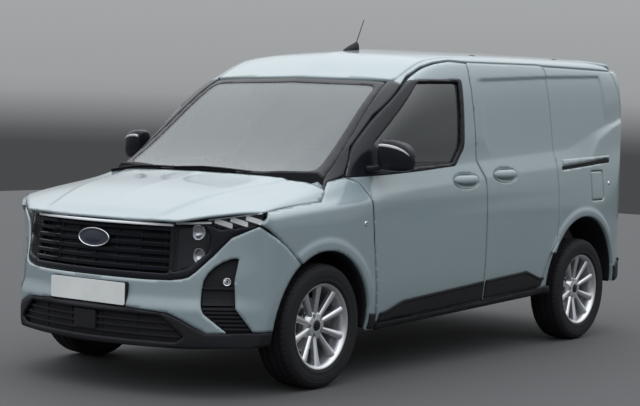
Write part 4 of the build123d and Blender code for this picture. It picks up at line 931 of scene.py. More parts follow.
vents = add_piece("vent_mouldings", both_sides(*vent_shells), black_plastic, "root", thickness=0.003,
                  smooth=False)
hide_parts("corner_vents")
fog_shell = joined(*[reflector(side * 0.795, 0.575, 0.020, 0.020) for side in (1, -1)])
fog = add_piece("fog_lamps", fog_shell, chrome, "root", thickness=0.002)

# Skirt: a grained dark plastic moulding under the bumper, with a wide intake between its corners. Bars
# cross the intake, with a plain square cover in its middle.
skirt_half = ([(0, 0.433), (0.268, 0.430), (0.492, 0.413), (0.570, 0.384), (0.696, 0.3225), (0.804, 0.3245),
               (0.923, 0.328), (1.046, 0.328)]
              + [(nose_run(y=y), z) for y, z in arch(FRONT_ARCH, FRONT_ARCH_RADIUS + 0.001, 179, 187.5, 5)]
              + [(1.05, 0.258), (0.585, 0.246), (0, 0.240)])
INTAKE = whole_width([(0, 0.404), (0.462, 0.401), (0.540, 0.340), (0.590, 0.302), (0.545, 0.273),
                      (0, 0.272)])
skirt_shell = skin_panel(nose_skin, whole_width(skirt_half), [rounded(INTAKE, 0.015)], cell=0.010)
skirt = add_piece("skirt_skin", skirt_shell, black_plastic, "root", thickness=0.02)
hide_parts("bumper_skirt")
intake_bars = [moulding(nose_skin, np.linspace(-reach, reach, 61), z, flat_bar(0.005, -0.040, -0.014))
               for z, reach in ((0.368, 0.500), (0.336, 0.535), (0.303, 0.570))]
intake_bars += [moulding(nose_skin, np.linspace(run - 0.006, run + 0.006, 3), 0.338,
                         flat_bar(0.066, -0.045, -0.022)) for run in (-0.33, -0.12, 0.10, 0.32)]
intake_bars.append(moulding(nose_skin, np.linspace(-0.075, 0.075, 7), 0.352,
                            [(0.048, -0.03), (0.046, -0.006), (-0.046, -0.006), (-0.048, -0.03)]))
intake = add_piece("intake_bars", joined(*intake_bars), black_plastic, "root", smooth=False, closed=True)
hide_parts("lower_grille")
INTAKE_BACK = whole_width([(0, 0.424), (0.470, 0.420), (0.562, 0.352), (0.620, 0.302), (0.562, 0.251),
                           (0, 0.250)])
intake_back = skin_panel(nose_skin, INTAKE_BACK, cell=0.02, proud=-0.027, sink=0)
intake_backing = add_piece("intake_backing", intake_back, black_plastic, "root", thickness=0.004)

# Inner side frames: pillars, hinge arms, hinge pins and door frames, just behind the outer pressing.
# They are the part's own solids, drawn in so that only the shut faces show when a door is open.
WINDOW_FOOT, WINDOW_HEAD = 1.20, 1.60
SCREEN_HEAD_Y, SCREEN_FOOT = -0.40, 1.00
TAIL_START = 2.0
FLAP_REACH = 0.16
for side in SIDES:
    inner_mesh = nodes["body_side_" + side].data.copy()
    inner_mesh.name = "inner_frame_" + side
    coordinates = np.empty(len(inner_mesh.vertices) * 3, np.float32)
    inner_mesh.vertices.foreach_get("co", coordinates)
    coordinates = coordinates.reshape(-1, 3)
    outwards = np.sign(coordinates[:, 0])
    coordinates[:, 0] -= outwards * np.where(coordinates[:, 2] > WINDOW_FOOT, 0.022, 0.014)
    coordinates[:, 2] -= np.where(coordinates[:, 2] > WINDOW_HEAD, 0.014, 0)
    by_screen = (coordinates[:, 1] < SCREEN_HEAD_Y) & (coordinates[:, 2] > SCREEN_FOOT)
    coordinates[:, 2] -= np.where(by_screen, 0.026, 0)
    coordinates[:, 0] -= outwards * np.where(by_screen, 0.012, 0)
    coordinates[:, 1] -= np.where(coordinates[:, 1] > TAIL_START, 0.008, 0)
    from_flap = np.abs(coordinates[:, 1:] - np.mean(FLAP, axis=0)).max(axis=1)
    coordinates[:, 0] -= outwards * np.where(from_flap < FLAP_REACH, 0.035, 0)
    inner_mesh.vertices.foreach_set("co", coordinates.ravel())
    inner_mesh.materials.clear()
    inner_mesh.materials.append(paint)
    inner_frame = bpy.data.objects.new("inner_frame_" + side, inner_mesh)
    scene.collection.objects.link(inner_frame)
    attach(inner_frame, "root")
    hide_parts("body_side_" + side)

# Door handles: an oval cup let into the skin with a rounded pull bar across it, both painted like
# the body.
HANDLE_TURN = ring(40)
PULL_TURN = ring(16)


def dish(skin, y, z, half_y, half_z, depth):
    """An oval bowl that starts at the skin: its depth grows as 1 - r^4 towards the middle."""
    share = np.linspace(1, 0.02, 9)[:, None]
    return on_skin(skin, y + half_y * share * np.cos(HANDLE_TURN), z + half_z * share * np.sin(HANDLE_TURN),
                   -depth * (1 - share ** 4), ends="last")


def pull_bar(skin, y, z, half_length, half_height):
    """A rounded bar in front of the cup: an oval section that shrinks into both ends."""
    along = np.linspace(-1, 1, 25)[:, None]
    size = (1 - np.abs(along) ** 5) ** 0.5 + 0.02
    height = 0.012 + 0.010 * size * np.cos(PULL_TURN) - 0.016 * np.abs(along) ** 6
    return on_skin(skin, y + half_length * along, z + half_height * size * np.sin(PULL_TURN), height)


for name, (y, z, half_y, half_z), body_start in (("cab_handle", CAB_HANDLE, "front_door_"),
                                                 ("load_handle", LOAD_HANDLE, None)):
    cup = dish(side_skin, y, z, half_y, half_z, 0.020)
    bar = pull_bar(side_skin, y, z + 0.006, half_y * 0.92, half_z * 0.50)
    for side in SIDES:
        body = body_start + side if body_start else "root"
        cup_piece = add_piece(name + "_cup_" + side, to_side(side, cup), paint, body, thickness=0.002)
        bar_piece = add_piece(name + "_bar_" + side, to_side(side, bar), paint, body, closed=True)

# Lower cladding: grained black plastic mouldings clipped along the foot of the doors, rising in two
# steps to the rear arch, with a raised upper edge, and a patch behind each rear wheel.
DOOR_CLAD = [(-0.853, 0.305), (0.176, 0.344), (0.176, 0.448), (0.100, 0.443), (-0.640, 0.398),
             (-0.790, 0.352), (-0.846, 0.345)]
LOAD_CLAD = [(0.194, 0.346), (0.838, 0.378), (0.858, 0.424), (0.812, 0.424), (0.645, 0.476), (0.560, 0.470),
             (0.194, 0.450)]
REAR_CLAD = np.concatenate([arch(REAR_ARCH, REAR_ARCH_RADIUS + 0.001, 10.5, -2, 6),
                            [(1.780, 0.348), (2.052, 0.368), (2.070, 0.470), (1.900, 0.478)]])
WING_CLAD = np.concatenate([arch(FRONT_ARCH, FRONT_ARCH_RADIUS + 0.001, 6, -6, 5),
                            [(-0.880, 0.266), (-0.878, 0.352)]])

CLAD_OUT = 0.009


def edge_bead(outline_run, height):
    """A rounded bead along the upper edge of a cladding, through a run of (y, z) points."""
    steps = run_length(outline_run)
    at = np.arange(0, steps[-1], 0.012)
    y, z = (np.interp(at, steps, values)[:, None] for values in np.transpose(outline_run))
    turn = ring(8)
    return on_skin(side_skin, y, z + 0.010 * np.sin(turn), height + 0.004 * np.cos(turn))


for name, outline, bead_run, body_start in (("door_cladding", DOOR_CLAD, DOOR_CLAD[:1:-1], "front_door_"),
                                            ("load_cladding", LOAD_CLAD, LOAD_CLAD[:1:-1], None),
                                            ("rear_cladding", REAR_CLAD, REAR_CLAD[:-3:-1], None),
                                            ("wing_cladding", WING_CLAD, None, None)):
    sheet = skin_panel(side_skin, rounded(outline, 0.006), cell=0.010, proud=CLAD_OUT, sink=0.003)
    for side in SIDES:
        body = body_start + side if body_start else "root"
        clad = add_piece(name + "_" + side, to_side(side, sheet), black_plastic, body, thickness=0.010)
        if bead_run is not None:
            bead = to_side(side, edge_bead(bead_run, CLAD_OUT))
            bead_piece = add_piece(name + "_edge_" + side, bead, black_plastic, body, closed=True)


# Wheel arch liners: grained black plastic shells clipped in between each arch and its tyre, clear of
# the turning wheel.
LINER_SHARE = np.array([0, 0.06, 0.12, 0.5, 1.0])


def liner(centre, radius, start, end, x_inner):
    """A shell round the arch: an arc of the given radius, carried from the skin inwards."""
    edge = arch(centre, radius, start, end, 61)
    x_outer = side_skin(edge[:, 0], np.clip(edge[:, 1], 0.24, 1.0))[:, :1] - 0.022
    x = x_outer + (x_inner - x_outer) * LINER_SHARE
    return grid_points(x, edge[:, :1], edge[:, 1:]), sheet_faces(*x.shape)


for name, shell in (("front_liners", liner(FRONT_ARCH, 0.388, -6, 186, 0.505)),
                    ("rear_liners", liner(REAR_ARCH, 0.413, -4, 184, 0.626))):
    piece = add_piece(name, both_sides(shell), black_plastic, "root", thickness=0.003)

# Door mirrors: a rounded gloss black housing on a foot on the door's front corner, with a bright
# strip round its upper front, and the mirror glass set in its back.
MIRROR_X = np.array([0.862, 0.866, 0.876, 0.900, 0.940, 0.980, 1.010, 1.026, 1.034, 1.037])
MIRROR_HALF_Z = np.array([0.040, 0.064, 0.076, 0.083, 0.083, 0.078, 0.066, 0.050, 0.028, 0.007])
MIRROR_HALF_Y = np.array([0.025, 0.045, 0.056, 0.062, 0.062, 0.058, 0.048, 0.036, 0.020, 0.005])
MIRROR_MID_Z = np.array([1.194, 1.194, 1.194, 1.193, 1.190, 1.184, 1.176, 1.169, 1.165, 1.164])
MIRROR_MID_Y = np.array([-0.846, -0.846, -0.845, -0.842, -0.836, -0.827, -0.816, -0.808, -0.803, -0.802])
MIRROR_POWER = 4.2
FOOT_X = np.array([0.800, 0.815, 0.850, 0.885, 0.915, 0.930])
FOOT_HALF_Z = np.array([0.024, 0.022, 0.018, 0.016, 0.016, 0.012])
FOOT_HALF_Y = np.array([0.060, 0.058, 0.050, 0.042, 0.036, 0.028])
FOOT_MID_Z = np.array([1.112, 1.113, 1.118, 1.128, 1.142, 1.150])
FOOT_MID_Y = -0.855
PANE_X = np.array([0.882, 0.890, 0.940, 0.990, 1.006, 1.012])
PANE_HALF_Z = np.array([0.030, 0.050, 0.056, 0.050, 0.038, 0.020])


def box_power(values):
    """A cosine or sine made boxy: its size raised to 2 / power, its sign kept."""
    return np.sign(values) * np.abs(values) ** (2 / MIRROR_POWER)


def stacked_rings(x, *rows):
    """Rounded boxes as rings along x: |y|^p + |z|^p = 1, as (points, faces) with both ends closed. The
    rows are their middle y, middle z, half y and half z."""
    turn = ring(44)
    mid_y, mid_z, half_y, half_z = (np.broadcast_to(row, x.shape)[:, None] for row in rows)
    y = mid_y + half_y * box_power(np.cos(turn))
    z = mid_z + half_z * box_power(np.sin(turn))
    return grid_points(x[:, None], y, z), tube_faces(*y.shape)


def along_mirror(x):
    """The mirror housing's middle y, middle z, half y and half z at each x, as columns."""
    return [np.interp(x, MIRROR_X, row)[:, None]
            for row in (MIRROR_MID_Y, MIRROR_MID_Z, MIRROR_HALF_Y, MIRROR_HALF_Z)]


mirror_shell = joined(stacked_rings(MIRROR_X, MIRROR_MID_Y, MIRROR_MID_Z, MIRROR_HALF_Y, MIRROR_HALF_Z),
                      stacked_rings(FOOT_X, FOOT_MID_Y, FOOT_MID_Z, FOOT_HALF_Y, FOOT_HALF_Z))
strip_x = np.linspace(0.872, 1.030, 24)
strip_turn = np.radians([154, 157, 160, 163, 166])
mid_y, mid_z, half_y, half_z = along_mirror(strip_x)
strip_shell = (grid_points(strip_x[:, None], mid_y + half_y * 1.03 * box_power(np.cos(strip_turn)),
                           mid_z + half_z * 1.03 * box_power(np.sin(strip_turn))), sheet_faces(24, 5))
mid_y, mid_z, half_y, half_z = along_mirror(PANE_X)
pane_shell = (grid_points(PANE_X[:, None], mid_y + half_y + 0.001,
                          mid_z + PANE_HALF_Z[:, None] * (2 * np.linspace(0, 1, 7) - 1)), sheet_faces(6, 7))
mirror_glass = moulded("mirror_glass", (0.55, 0.58, 0.60), 0.03, depth=0.0, metal=1.0)
for side in SIDES:
    body = "front_door_" + side
    housing = add_piece("mirror_housing_" + side, to_side(side, mirror_shell), black_gloss, body,
                        closed=True)
    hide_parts("mirror_" + side)
    strip = add_piece("mirror_strip_" + side, to_side(side, strip_shell), alloy, body, thickness=0.002)
    pane = add_piece("mirror_pane_" + side, to_side(side, pane_shell), mirror_glass, body, thickness=0.002)

# Small round covers: domed bright caps pressed into the skin, one on each wing behind the arch and
# one behind the fuel flap.
BUTTON_SHARE = np.array([1.0, 1.0, 0.85, 0.6, 0.3, 0.05])[:, None]


def button(skin, y, z, radius, height):
    """A domed round cover on a skin."""
    turn = ring(24)
    out = radius * BUTTON_SHARE
    lift = np.array([-0.004, 0.002, height, height * 1.1, height * 1.15, height * 1.2])[:, None]
    return on_skin(skin, y + out * np.cos(turn), z + out * np.sin(turn), lift)


wing_button = button(side_skin, -1.009, 0.834, 0.014, 0.003)
flap_button = button(side_skin, 1.692, 0.992, 0.013, 0.004)
buttons = add_piece("side_buttons", joined(wing_button, flipped(wing_button), flap_button), chrome, "root",
                    closed=True)

# Fuel flap: a painted steel lid on the left side only, with a cut lower rear corner, that swings out
# on its own hinge.
LID = [(1.459, 0.890), (1.598, 0.890), (1.611, 0.905), (1.611, 1.069), (1.459, 1.069)]
flap_lid = add_piece("fuel_lid", skin_panel(side_skin, rounded(LID, 0.012), cell=0.010), paint, "fuel_flap",
                     thickness=0.010)
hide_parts("fuel_flap")

# Slide rail covers: a painted pressed ledge a side, over the black slot that the loading door's arm
# runs in.
RAIL_COVER = [(1.106, 1.112), (1.752, 1.156), (1.752, 1.172), (1.106, 1.150)]
cover_shell = skin_panel(side_skin, rounded(RAIL_COVER, 0.006), cell=0.008, proud=0.005, sink=0.004)
rail_cover = add_piece("rail_covers", both_sides(cover_shell), paint, "root", thickness=0.006)


# Wheels: cast alloy with five pairs of spokes, a dark middle cap and five bolts in their pockets, on
# a steel brake disc. Every turned shape is a row of (distance out from the wheel's middle, radius).
HALF_TRACK = 0.775
AXLE_HEIGHT = 0.321
FRONT_AXLE, REAR_AXLE = -1.333, 1.359
WHEELS = (("front_left", 1, FRONT_AXLE), ("front_right", -1, FRONT_AXLE),
          ("rear_left", 1, REAR_AXLE), ("rear_right", -1, REAR_AXLE))
SPOKE_CENTRES = np.radians(36 + 72 * np.arange(5))
SPOKE_SPLAY = math.radians(16.5)


def turned(x, r, turn):
    """Points from distances along the axle, radii and angles that spread over one grid."""
    return grid_points(x, r * np.cos(turn), r * np.sin(turn))


def lathe(profile, steps=160, dent=None):
    """A closed profile of (x, r) turned about the axle: y = r cos t, z = r sin t. A dent, a function of
    (x, r, t), gives how far each point moves in towards the axle."""
    x, r = (np.repeat(column[:, None], steps, axis=1) for column in np.asarray(profile, float).T)
    turn = ring(steps)
    if dent is not None:
        r = r - dent(x, r, turn)
    return turned(x, r, turn), tube_faces(*x.shape, "loop")


def spoke(angle):
    """One spoke: a bar with bevelled edges and a raised ridge, wider and further out at the rim."""
    r = np.array([0.055, 0.075, 0.105, 0.140, 0.175, 0.198, 0.208])
    half = np.array([0.0130, 0.0132, 0.0145, 0.0165, 0.0190, 0.0215, 0.0240])
    top = np.array([0.0490, 0.0520, 0.0575, 0.0640, 0.0710, 0.0750, 0.0760])
    depth = np.array([0.030, 0.028, 0.026, 0.026, 0.028, 0.030, 0.030])
    across = np.array([-1.0, -1.0, -0.72, -0.16, 0.16, 0.72, 1.0, 1.0])
    drop = np.array([0.0, -0.0065, -0.0012, 0.0022, 0.0022, -0.0012, -0.0065, 0.0])
    buried = np.array([1.0, 0, 0, 0, 0, 0, 0, 1.0])
    t = half[:, None] * across
    x = top[:, None] + drop - depth[:, None] * buried
    y = r[:, None] * math.cos(angle) - t * math.sin(angle)
    z = r[:, None] * math.sin(angle) + t * math.cos(angle)
    return grid_points(x, y, z), tube_faces(*t.shape)


RIM = [(-0.080, 0.2170), (-0.0880, 0.2190), (-0.0890, 0.2060), (-0.080, 0.1960), (0.020, 0.1920),
       (0.058, 0.1960), (0.070, 0.2005), (0.0790, 0.2045), (0.0850, 0.2100), (0.0885, 0.2160),
       (0.0890, 0.2200), (0.0865, 0.2215), (0.0835, 0.2195), (0.0800, 0.2170)]
BOLT_RADIUS = 0.054
HUB_INNER, HUB_OUTER = 0.0275, 0.0800
hub_turn = ring(240)
hub_r = np.linspace(HUB_INNER, HUB_OUTER, 24)
hub_x = np.interp(hub_r, [HUB_INNER, 0.0310, 0.0600, 0.0700, HUB_OUTER],
                  [0.0560, 0.0570, 0.0530, 0.0450, 0.0300])
from_bolt = np.min([np.hypot(hub_r[:, None] * np.cos(hub_turn) - BOLT_RADIUS * math.cos(a),
                             hub_r[:, None] * np.sin(hub_turn) - BOLT_RADIUS * math.sin(a))
                    for a in SPOKE_CENTRES], axis=0)
face_x = hub_x[:, None] - 0.017 * smooth_step((0.0125 - from_bolt) / 0.0035)
back_x = np.full((1, len(hub_turn)), 0.010)
hub_rows_x = np.concatenate([back_x, face_x, back_x])
hub_rows_r = np.concatenate([[HUB_INNER], hub_r, [HUB_OUTER]])[:, None]
hub = turned(hub_rows_x, hub_rows_r, hub_turn), tube_faces(*hub_rows_x.shape, "loop")
spokes = [spoke(centre + splay) for centre in SPOKE_CENTRES for splay in (-SPOKE_SPLAY, SPOKE_SPLAY)]
wheel_casting = joined(lathe(RIM), hub, *spokes)
CAP = [(0.030, 0.0272), (0.0560, 0.0272), (0.0588, 0.0258), (0.0598, 0.0220), (0.0590, 0.0205),
       (0.0600, 0.0190), (0.0606, 0.0100), (0.0608, 0.0004), (0.030, 0.0004)]
BOLT = [(0.020, 0.0085), (0.0470, 0.0085), (0.0490, 0.0070), (0.0490, 0.0003), (0.020, 0.0003)]
bolt_points, bolt_faces = lathe(BOLT, 6)
bolts = joined(*[(bolt_points + (0, BOLT_RADIUS * math.cos(a), BOLT_RADIUS * math.sin(a)), bolt_faces)
                 for a in SPOKE_CENTRES])
DISC = [(-0.0180, 0.139), (-0.0185, 0.140), (-0.0395, 0.140), (-0.0400, 0.139), (-0.0400, 0.088),
        (-0.0050, 0.084), (-0.0050, 0.030), (0.0100, 0.030), (0.0100, 0.086), (-0.0180, 0.092)]
disc_steel = moulded("disc_steel", (0.34, 0.34, 0.35), 0.32, grain=60, depth=0.05, metal=0.9)
wheel_bolt = moulded("wheel_bolt", (0.25, 0.25, 0.26), 0.35, depth=0.05, metal=0.8)

# Tyres: black rubber, 205 mm wide, seated on the rims. Each has a rim protector on its side wall, four
# grooves round its tread and blocks cut across.
SIDE_WALL = [(0.0840, 0.2172), (0.0905, 0.2200), (0.0945, 0.2290), (0.0982, 0.2325), (0.0992, 0.2360),
             (0.0982, 0.2395), (0.1005, 0.2520), (0.1025, 0.2660), (0.1018, 0.2780), (0.0998, 0.2862),
             (0.1003, 0.2880), (0.0990, 0.2898), (0.0968, 0.2955), (0.0935, 0.3010), (0.0900, 0.3060),
             (0.0860, 0.3100)]
TREAD_HALF = [0.0800, 0.0740, 0.0690, 0.0665, 0.0660, 0.0590, 0.0585, 0.0500, 0.0360, 0.0275, 0.0270,
              0.0190, 0.0185]
GROOVE_ROWS = (0.0660, 0.0590, 0.0270, 0.0190)
GROOVE_DEPTH, SHOULDER_DEPTH, RIB_DEPTH = 0.007, 0.0055, 0.0035
PITCHES = 66
COLUMNS_PER_PITCH = 5
tread_x = np.array(TREAD_HALF + [0.0] + [-x for x in TREAD_HALF[::-1]])
tread_r = (AXLE_HEIGHT - 0.0024 * (np.abs(tread_x) / 0.0700) ** 2
           - 0.0022 * np.clip((np.abs(tread_x) - 0.070) / 0.010, 0, 1))
tyre_profile = SIDE_WALL + list(zip(tread_x, tread_r)) + [(-x, r) for x, r in SIDE_WALL[::-1]]


def tread_dent(x, r, turn):
    """Depth cut into the tread: full in the four grooves, and across the blocks once a pitch, the
    cut leaning with the distance from the middle."""
    column = np.round(turn / (2 * math.pi) * PITCHES * COLUMNS_PER_PITCH + 90 * np.abs(x)).astype(int)
    far = np.abs(x)
    groove = np.isin(np.round(far, 4), GROOVE_ROWS)
    shoulder = (far > 0.0662) & (far < 0.0870) & (r > 0.308)
    cut = shoulder & (column % COLUMNS_PER_PITCH == 0)
    rib = (far > 0.0200) & (far < 0.0588) & ((column + 2) % COLUMNS_PER_PITCH == 0)
    inner = np.where(rib & (r > 0.31), RIB_DEPTH, 0)
    return np.where(groove, GROOVE_DEPTH, np.where(cut, SHOULDER_DEPTH, inner))


def at_wheel(shell, side, y):
    """A shell made about the axle, moved to its wheel: the right-hand ones are turned half round."""
    points, faces = shell
    return points * (side, side, 1) + (side * HALF_TRACK, y, AXLE_HEIGHT), faces


tyre = lathe(tyre_profile, PITCHES * COLUMNS_PER_PITCH, tread_dent)
for name, side, y in WHEELS:
    body = "wheel_" + name
    casting = add_piece("alloy_" + name, at_wheel(wheel_casting, side, y), alloy, body, closed=True)
    casting.data.set_sharp_from_angle(angle=math.radians(32))
    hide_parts("wheel_" + name)
    for part_name, shell, finish, slot_name in (("cap_", lathe(CAP, 64), black_gloss, "black_gloss"),
                                                ("bolts_", bolts, wheel_bolt, "steel"),
                                                ("disc_", lathe(DISC, 96), disc_steel, "steel")):
        piece = add_piece(part_name + name, at_wheel(shell, side, y), finish, body, closed=True)
        piece.data.set_sharp_from_angle(angle=math.radians(32))
    rubber_ring = add_piece("tread_" + name, at_wheel(tyre, side, y), rubber, body, closed=True)
    rubber_ring.data.set_sharp_from_angle(angle=math.radians(40))
    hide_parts("tyre_" + name)

# Brake callipers: a cast steel block over the front edge of each front brake disc, bolted to the
# knuckle.
CALLIPER_ROWS = np.array([(-0.062, 0.100), (-0.058, 0.150), (-0.050, 0.158), (-0.008, 0.158),
                          (-0.002, 0.150), (-0.002, 0.112), (-0.010, 0.100)])
calliper_turn = np.radians(np.linspace(148, 206, 15))[:, None]
calliper_r = CALLIPER_ROWS[:, 1] - 0.010 * np.abs(np.linspace(-1, 1, 15))[:, None] ** 6
calliper_points = turned(CALLIPER_ROWS[None, :, 0], calliper_r, calliper_turn)
for side_name, side in (("left", 1), ("right", -1)):
    points = calliper_points * (side, 1, 1) + (side * HALF_TRACK, FRONT_AXLE, AXLE_HEIGHT)
    calliper = add_piece("calliper_" + side_name, (points, tube_faces(15, 7)), steel,
                         "knuckle_" + side_name, smooth=False, closed=True)


# Tail: the painted corners, one pressing with the rear quarters, go round to the rear doors. Places
# on the tail are (distance round the plan from its middle, height).
TAIL_RUN = plan_run[-1]


def tail_run(x=None, y=None):
    """Distance round the plan outline from the middle of the tail to a half width x on the rear face,
    or on the side to a place y."""
    if y is None:
        return TAIL_RUN - float(np.interp(-abs(x), -plan[widest:, 0], plan_run[widest:]))
    return TAIL_RUN - float(np.interp(y, plan[widest:, 1], plan_run[widest:]))


def tail_round(run, z):
    """Points round the tail over (run, z): the plan outline, kept inside the section and the lean of
    the rear face. Negative runs are the van's right."""
    at = TAIL_RUN - np.abs(run)
    x = np.interp(at, plan_run, plan[:, 0])
    y = np.interp(at, plan_run, plan[:, 1])
    x = softer(along_section(y, z, axis=1), x + SKIN_SLACK)
    y = softer(y, np.interp(z, TAIL_Z, TAIL_Y))
    return np.stack([np.where(run < 0, -x, x), y, z], axis=1)


OUTWARD[tail_round] = (0.5, 1, 0)
LAMP_LOW, LAMP_HIGH = 0.883, 1.327
LAMP_INNER = tail_run(x=0.7155)
LAMP_FRONT = tail_run(y=1.994)
CORNER_INNER = tail_run(x=0.7025)
CORNER_TOP = [(CORNER_INNER, LAMP_HIGH + 0.004), (CORNER_INNER, 1.655), (tail_run(x=0.640), 1.712),
              (tail_run(x=0.655), 1.735), (tail_run(y=1.940), 1.722), (tail_run(y=1.962), 1.690),
              (tail_run(y=2.010), 1.500), (tail_run(y=2.046), LAMP_HIGH + 0.004)]
CORNER_FOOT = [(CORNER_INNER, 0.560), (CORNER_INNER, LAMP_LOW - 0.003),
               (tail_run(y=2.076), LAMP_LOW - 0.003), (tail_run(y=2.077), 0.560)]
CORNER_STRIP = [(CORNER_INNER, LAMP_LOW - 0.006), (CORNER_INNER, LAMP_HIGH + 0.006),
                (LAMP_INNER - 0.004, LAMP_HIGH + 0.006), (LAMP_INNER - 0.004, LAMP_LOW - 0.006)]
corner_shells = [skin_panel(tail_round, shape, cell=0.010, sink=0)
                 for shape in (CORNER_FOOT, CORNER_TOP, CORNER_STRIP)]
corners_piece = add_piece("tail_corners", both_sides(*corner_shells), paint, "root", thickness=0.03)

# Tail lamps: upright red plastic covers round the corners, each with a clear band across it, screwed
# into the corner pressings.
lamp_shape = rounded([(LAMP_INNER, LAMP_LOW), (LAMP_INNER, LAMP_HIGH), (LAMP_FRONT, LAMP_HIGH),
                      (LAMP_FRONT, LAMP_LOW)], 0.014)
lamp_shell = skin_panel(tail_round, lamp_shape, cell=0.010, proud=0.001, sink=0.004)
lamp_cover = add_piece("tail_lamp_covers", both_sides(lamp_shell), red_lens, "root", thickness=0.012)
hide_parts("tail_lamps")
band_shape = rounded([(LAMP_INNER + 0.008, 1.035), (LAMP_INNER + 0.008, 1.095), (LAMP_FRONT - 0.008, 1.095),
                      (LAMP_FRONT - 0.008, 1.035)], 0.008)
clear_band = moulded("clear_band", (0.55, 0.56, 0.57), 0.12, depth=0.02, coat=0.6)
band_shell = skin_panel(tail_round, band_shape, cell=0.010, proud=0.0025)
band_piece = add_piece("tail_lamp_bands", both_sides(band_shell), clear_band, "root", thickness=0.002)

# Rear doors: two painted steel pressings that meet in the middle, each with a fixed window bonded in
# over a black band.
REAR_DOOR = [(0.0095, 0.568), (0.697, 0.568), (0.697, 1.654), (0.634, 1.703), (0.0095, 1.703)]
REAR_WINDOW = [(0.110, 1.130), (0.600, 1.130), (0.580, 1.570), (0.110, 1.570)]
REAR_BAND = [(0.082, 1.102), (0.632, 1.102), (0.608, 1.598), (0.082, 1.598)]
rear_window = rounded(REAR_WINDOW, 0.030)


def tail_pressing(x, z):
    """Points of a rear door: the tail skin with a shallow sunk field below the window."""
    points = tail_skin(x, z)
    field = (smooth_step((np.abs(x) - 0.075) / 0.02) * smooth_step((0.640 - np.abs(x)) / 0.02)
             * smooth_step((z - 0.660) / 0.02) * smooth_step((1.040 - z) / 0.02))
    points[:, 1] -= 0.007 * field
    return points

OUTWARD[tail_pressing] = (0, 1, 0)
rear_door_shell = skin_panel(tail_pressing, rounded(REAR_DOOR, 0.012), [rear_window], cell=0.011)
rear_band_shell = skin_panel(tail_skin, rounded(REAR_BAND, 0.035), [rear_window], cell=0.010, proud=0.0015)
rear_pane_shell = skin_panel(tail_skin, rear_window, cell=0.025, proud=-0.006, sink=0)
for side in SIDES:
    body = "rear_door_" + side
    door = add_piece("rear_skin_" + side, to_side(side, rear_door_shell), paint, body, thickness=0.045)
    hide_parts(body)
    band = add_piece("rear_band_" + side, to_side(side, rear_band_shell), black_gloss, body,
                     thickness=0.010)
    pane = add_piece("rear_pane_" + side, to_side(side, rear_pane_shell), glass, body, thickness=0.004)
    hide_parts("rear_glass_" + side)

# Rear hinges: two painted steel straps a door at the corners, and a black plastic pull handle screwed
# on the right-hand door beside the meeting edge.
STRAP_SECTION = [(0.022, -0.004), (0.019, 0.0055), (0.010, 0.0070), (-0.010, 0.0070), (-0.019, 0.0055),
                 (-0.022, -0.004)]
HANDLE_SECTION = [(0.034, -0.004), (0.030, 0.010), (0.012, 0.016), (-0.016, 0.016), (-0.030, 0.008),
                  (-0.034, -0.004)]
strap_x = np.linspace(0.655, 0.700, 8)
straps = joined(*[moulding(tail_skin, strap_x, z, STRAP_SECTION) for z in (0.680, 1.400)])
for side in SIDES:
    strap_piece = add_piece("rear_straps_" + side, to_side(side, straps), paint, "rear_door_" + side,
                            closed=True)
handle_shell = moulding(tail_skin, -np.linspace(0.030, 0.230, 21), 1.000, HANDLE_SECTION)
rear_handle = add_piece("rear_handle", handle_shell, black_plastic, "rear_door_right", closed=True)

# Rear bumper: a grained black plastic moulding across the tail and round its corners, with a step
# tread along its top.
BUMPER_TOP = 0.557
bumper_end = tail_run(y=2.046)
bumper_middle = tail_run(x=0.690)
rear_half = [(0, 0.372), (bumper_middle, 0.372), (bumper_end, 0.370), (bumper_end, 0.474),
             (tail_run(y=2.070), 0.500), (bumper_middle + 0.020, 0.540),
             (bumper_middle - 0.010, BUMPER_TOP), (0, BUMPER_TOP)]
u, v, faces, _ = grid_cut(whole_width(rear_half), [], 0.011)
swell = (smooth_step((bumper_middle - 0.010 - np.abs(u)) / 0.060) * smooth_step((v - 0.380) / 0.030)
         * smooth_step((BUMPER_TOP + 0.002 - v) / 0.008))
bumper_shell = (lifted(tail_round, u, v, 0.002 + 0.0225 * swell), faces[:, [0, 3, 2, 1]])
tail_bumper = add_piece("tail_bumper", bumper_shell, black_plastic, "root", thickness=0.012)

# Tail header: the painted steel edge over the rear doors, rolled over at its top into the roof that
# it is welded to.
HEADER_FOOT = 1.712
HEADER_EDGE = 2.006
ROLL = 0.022
header_x = np.linspace(-0.652, 0.652, 90)[:, None]
header_top = top_skin(header_x.ravel(), np.full(90, 2.010))[:, 2:]
way_up = np.array([0.0, 0.5, 1.0, 1.0, 1.0])
way_over = np.array([0.0, 0.0, 0.0, 0.65, 1.0])
header_z = HEADER_FOOT + (header_top - ROLL - HEADER_FOOT) * way_up + ROLL * way_over
face_y = np.interp(header_z, TAIL_Z, TAIL_Y) - 0.0015
header_y = face_y + (HEADER_EDGE - face_y) * way_over ** 2
header_shell = (grid_points(header_x, header_y, header_z), sheet_faces(90, 5))
header_piece = add_piece("tail_header", header_shell, paint, "root", thickness=0.02)


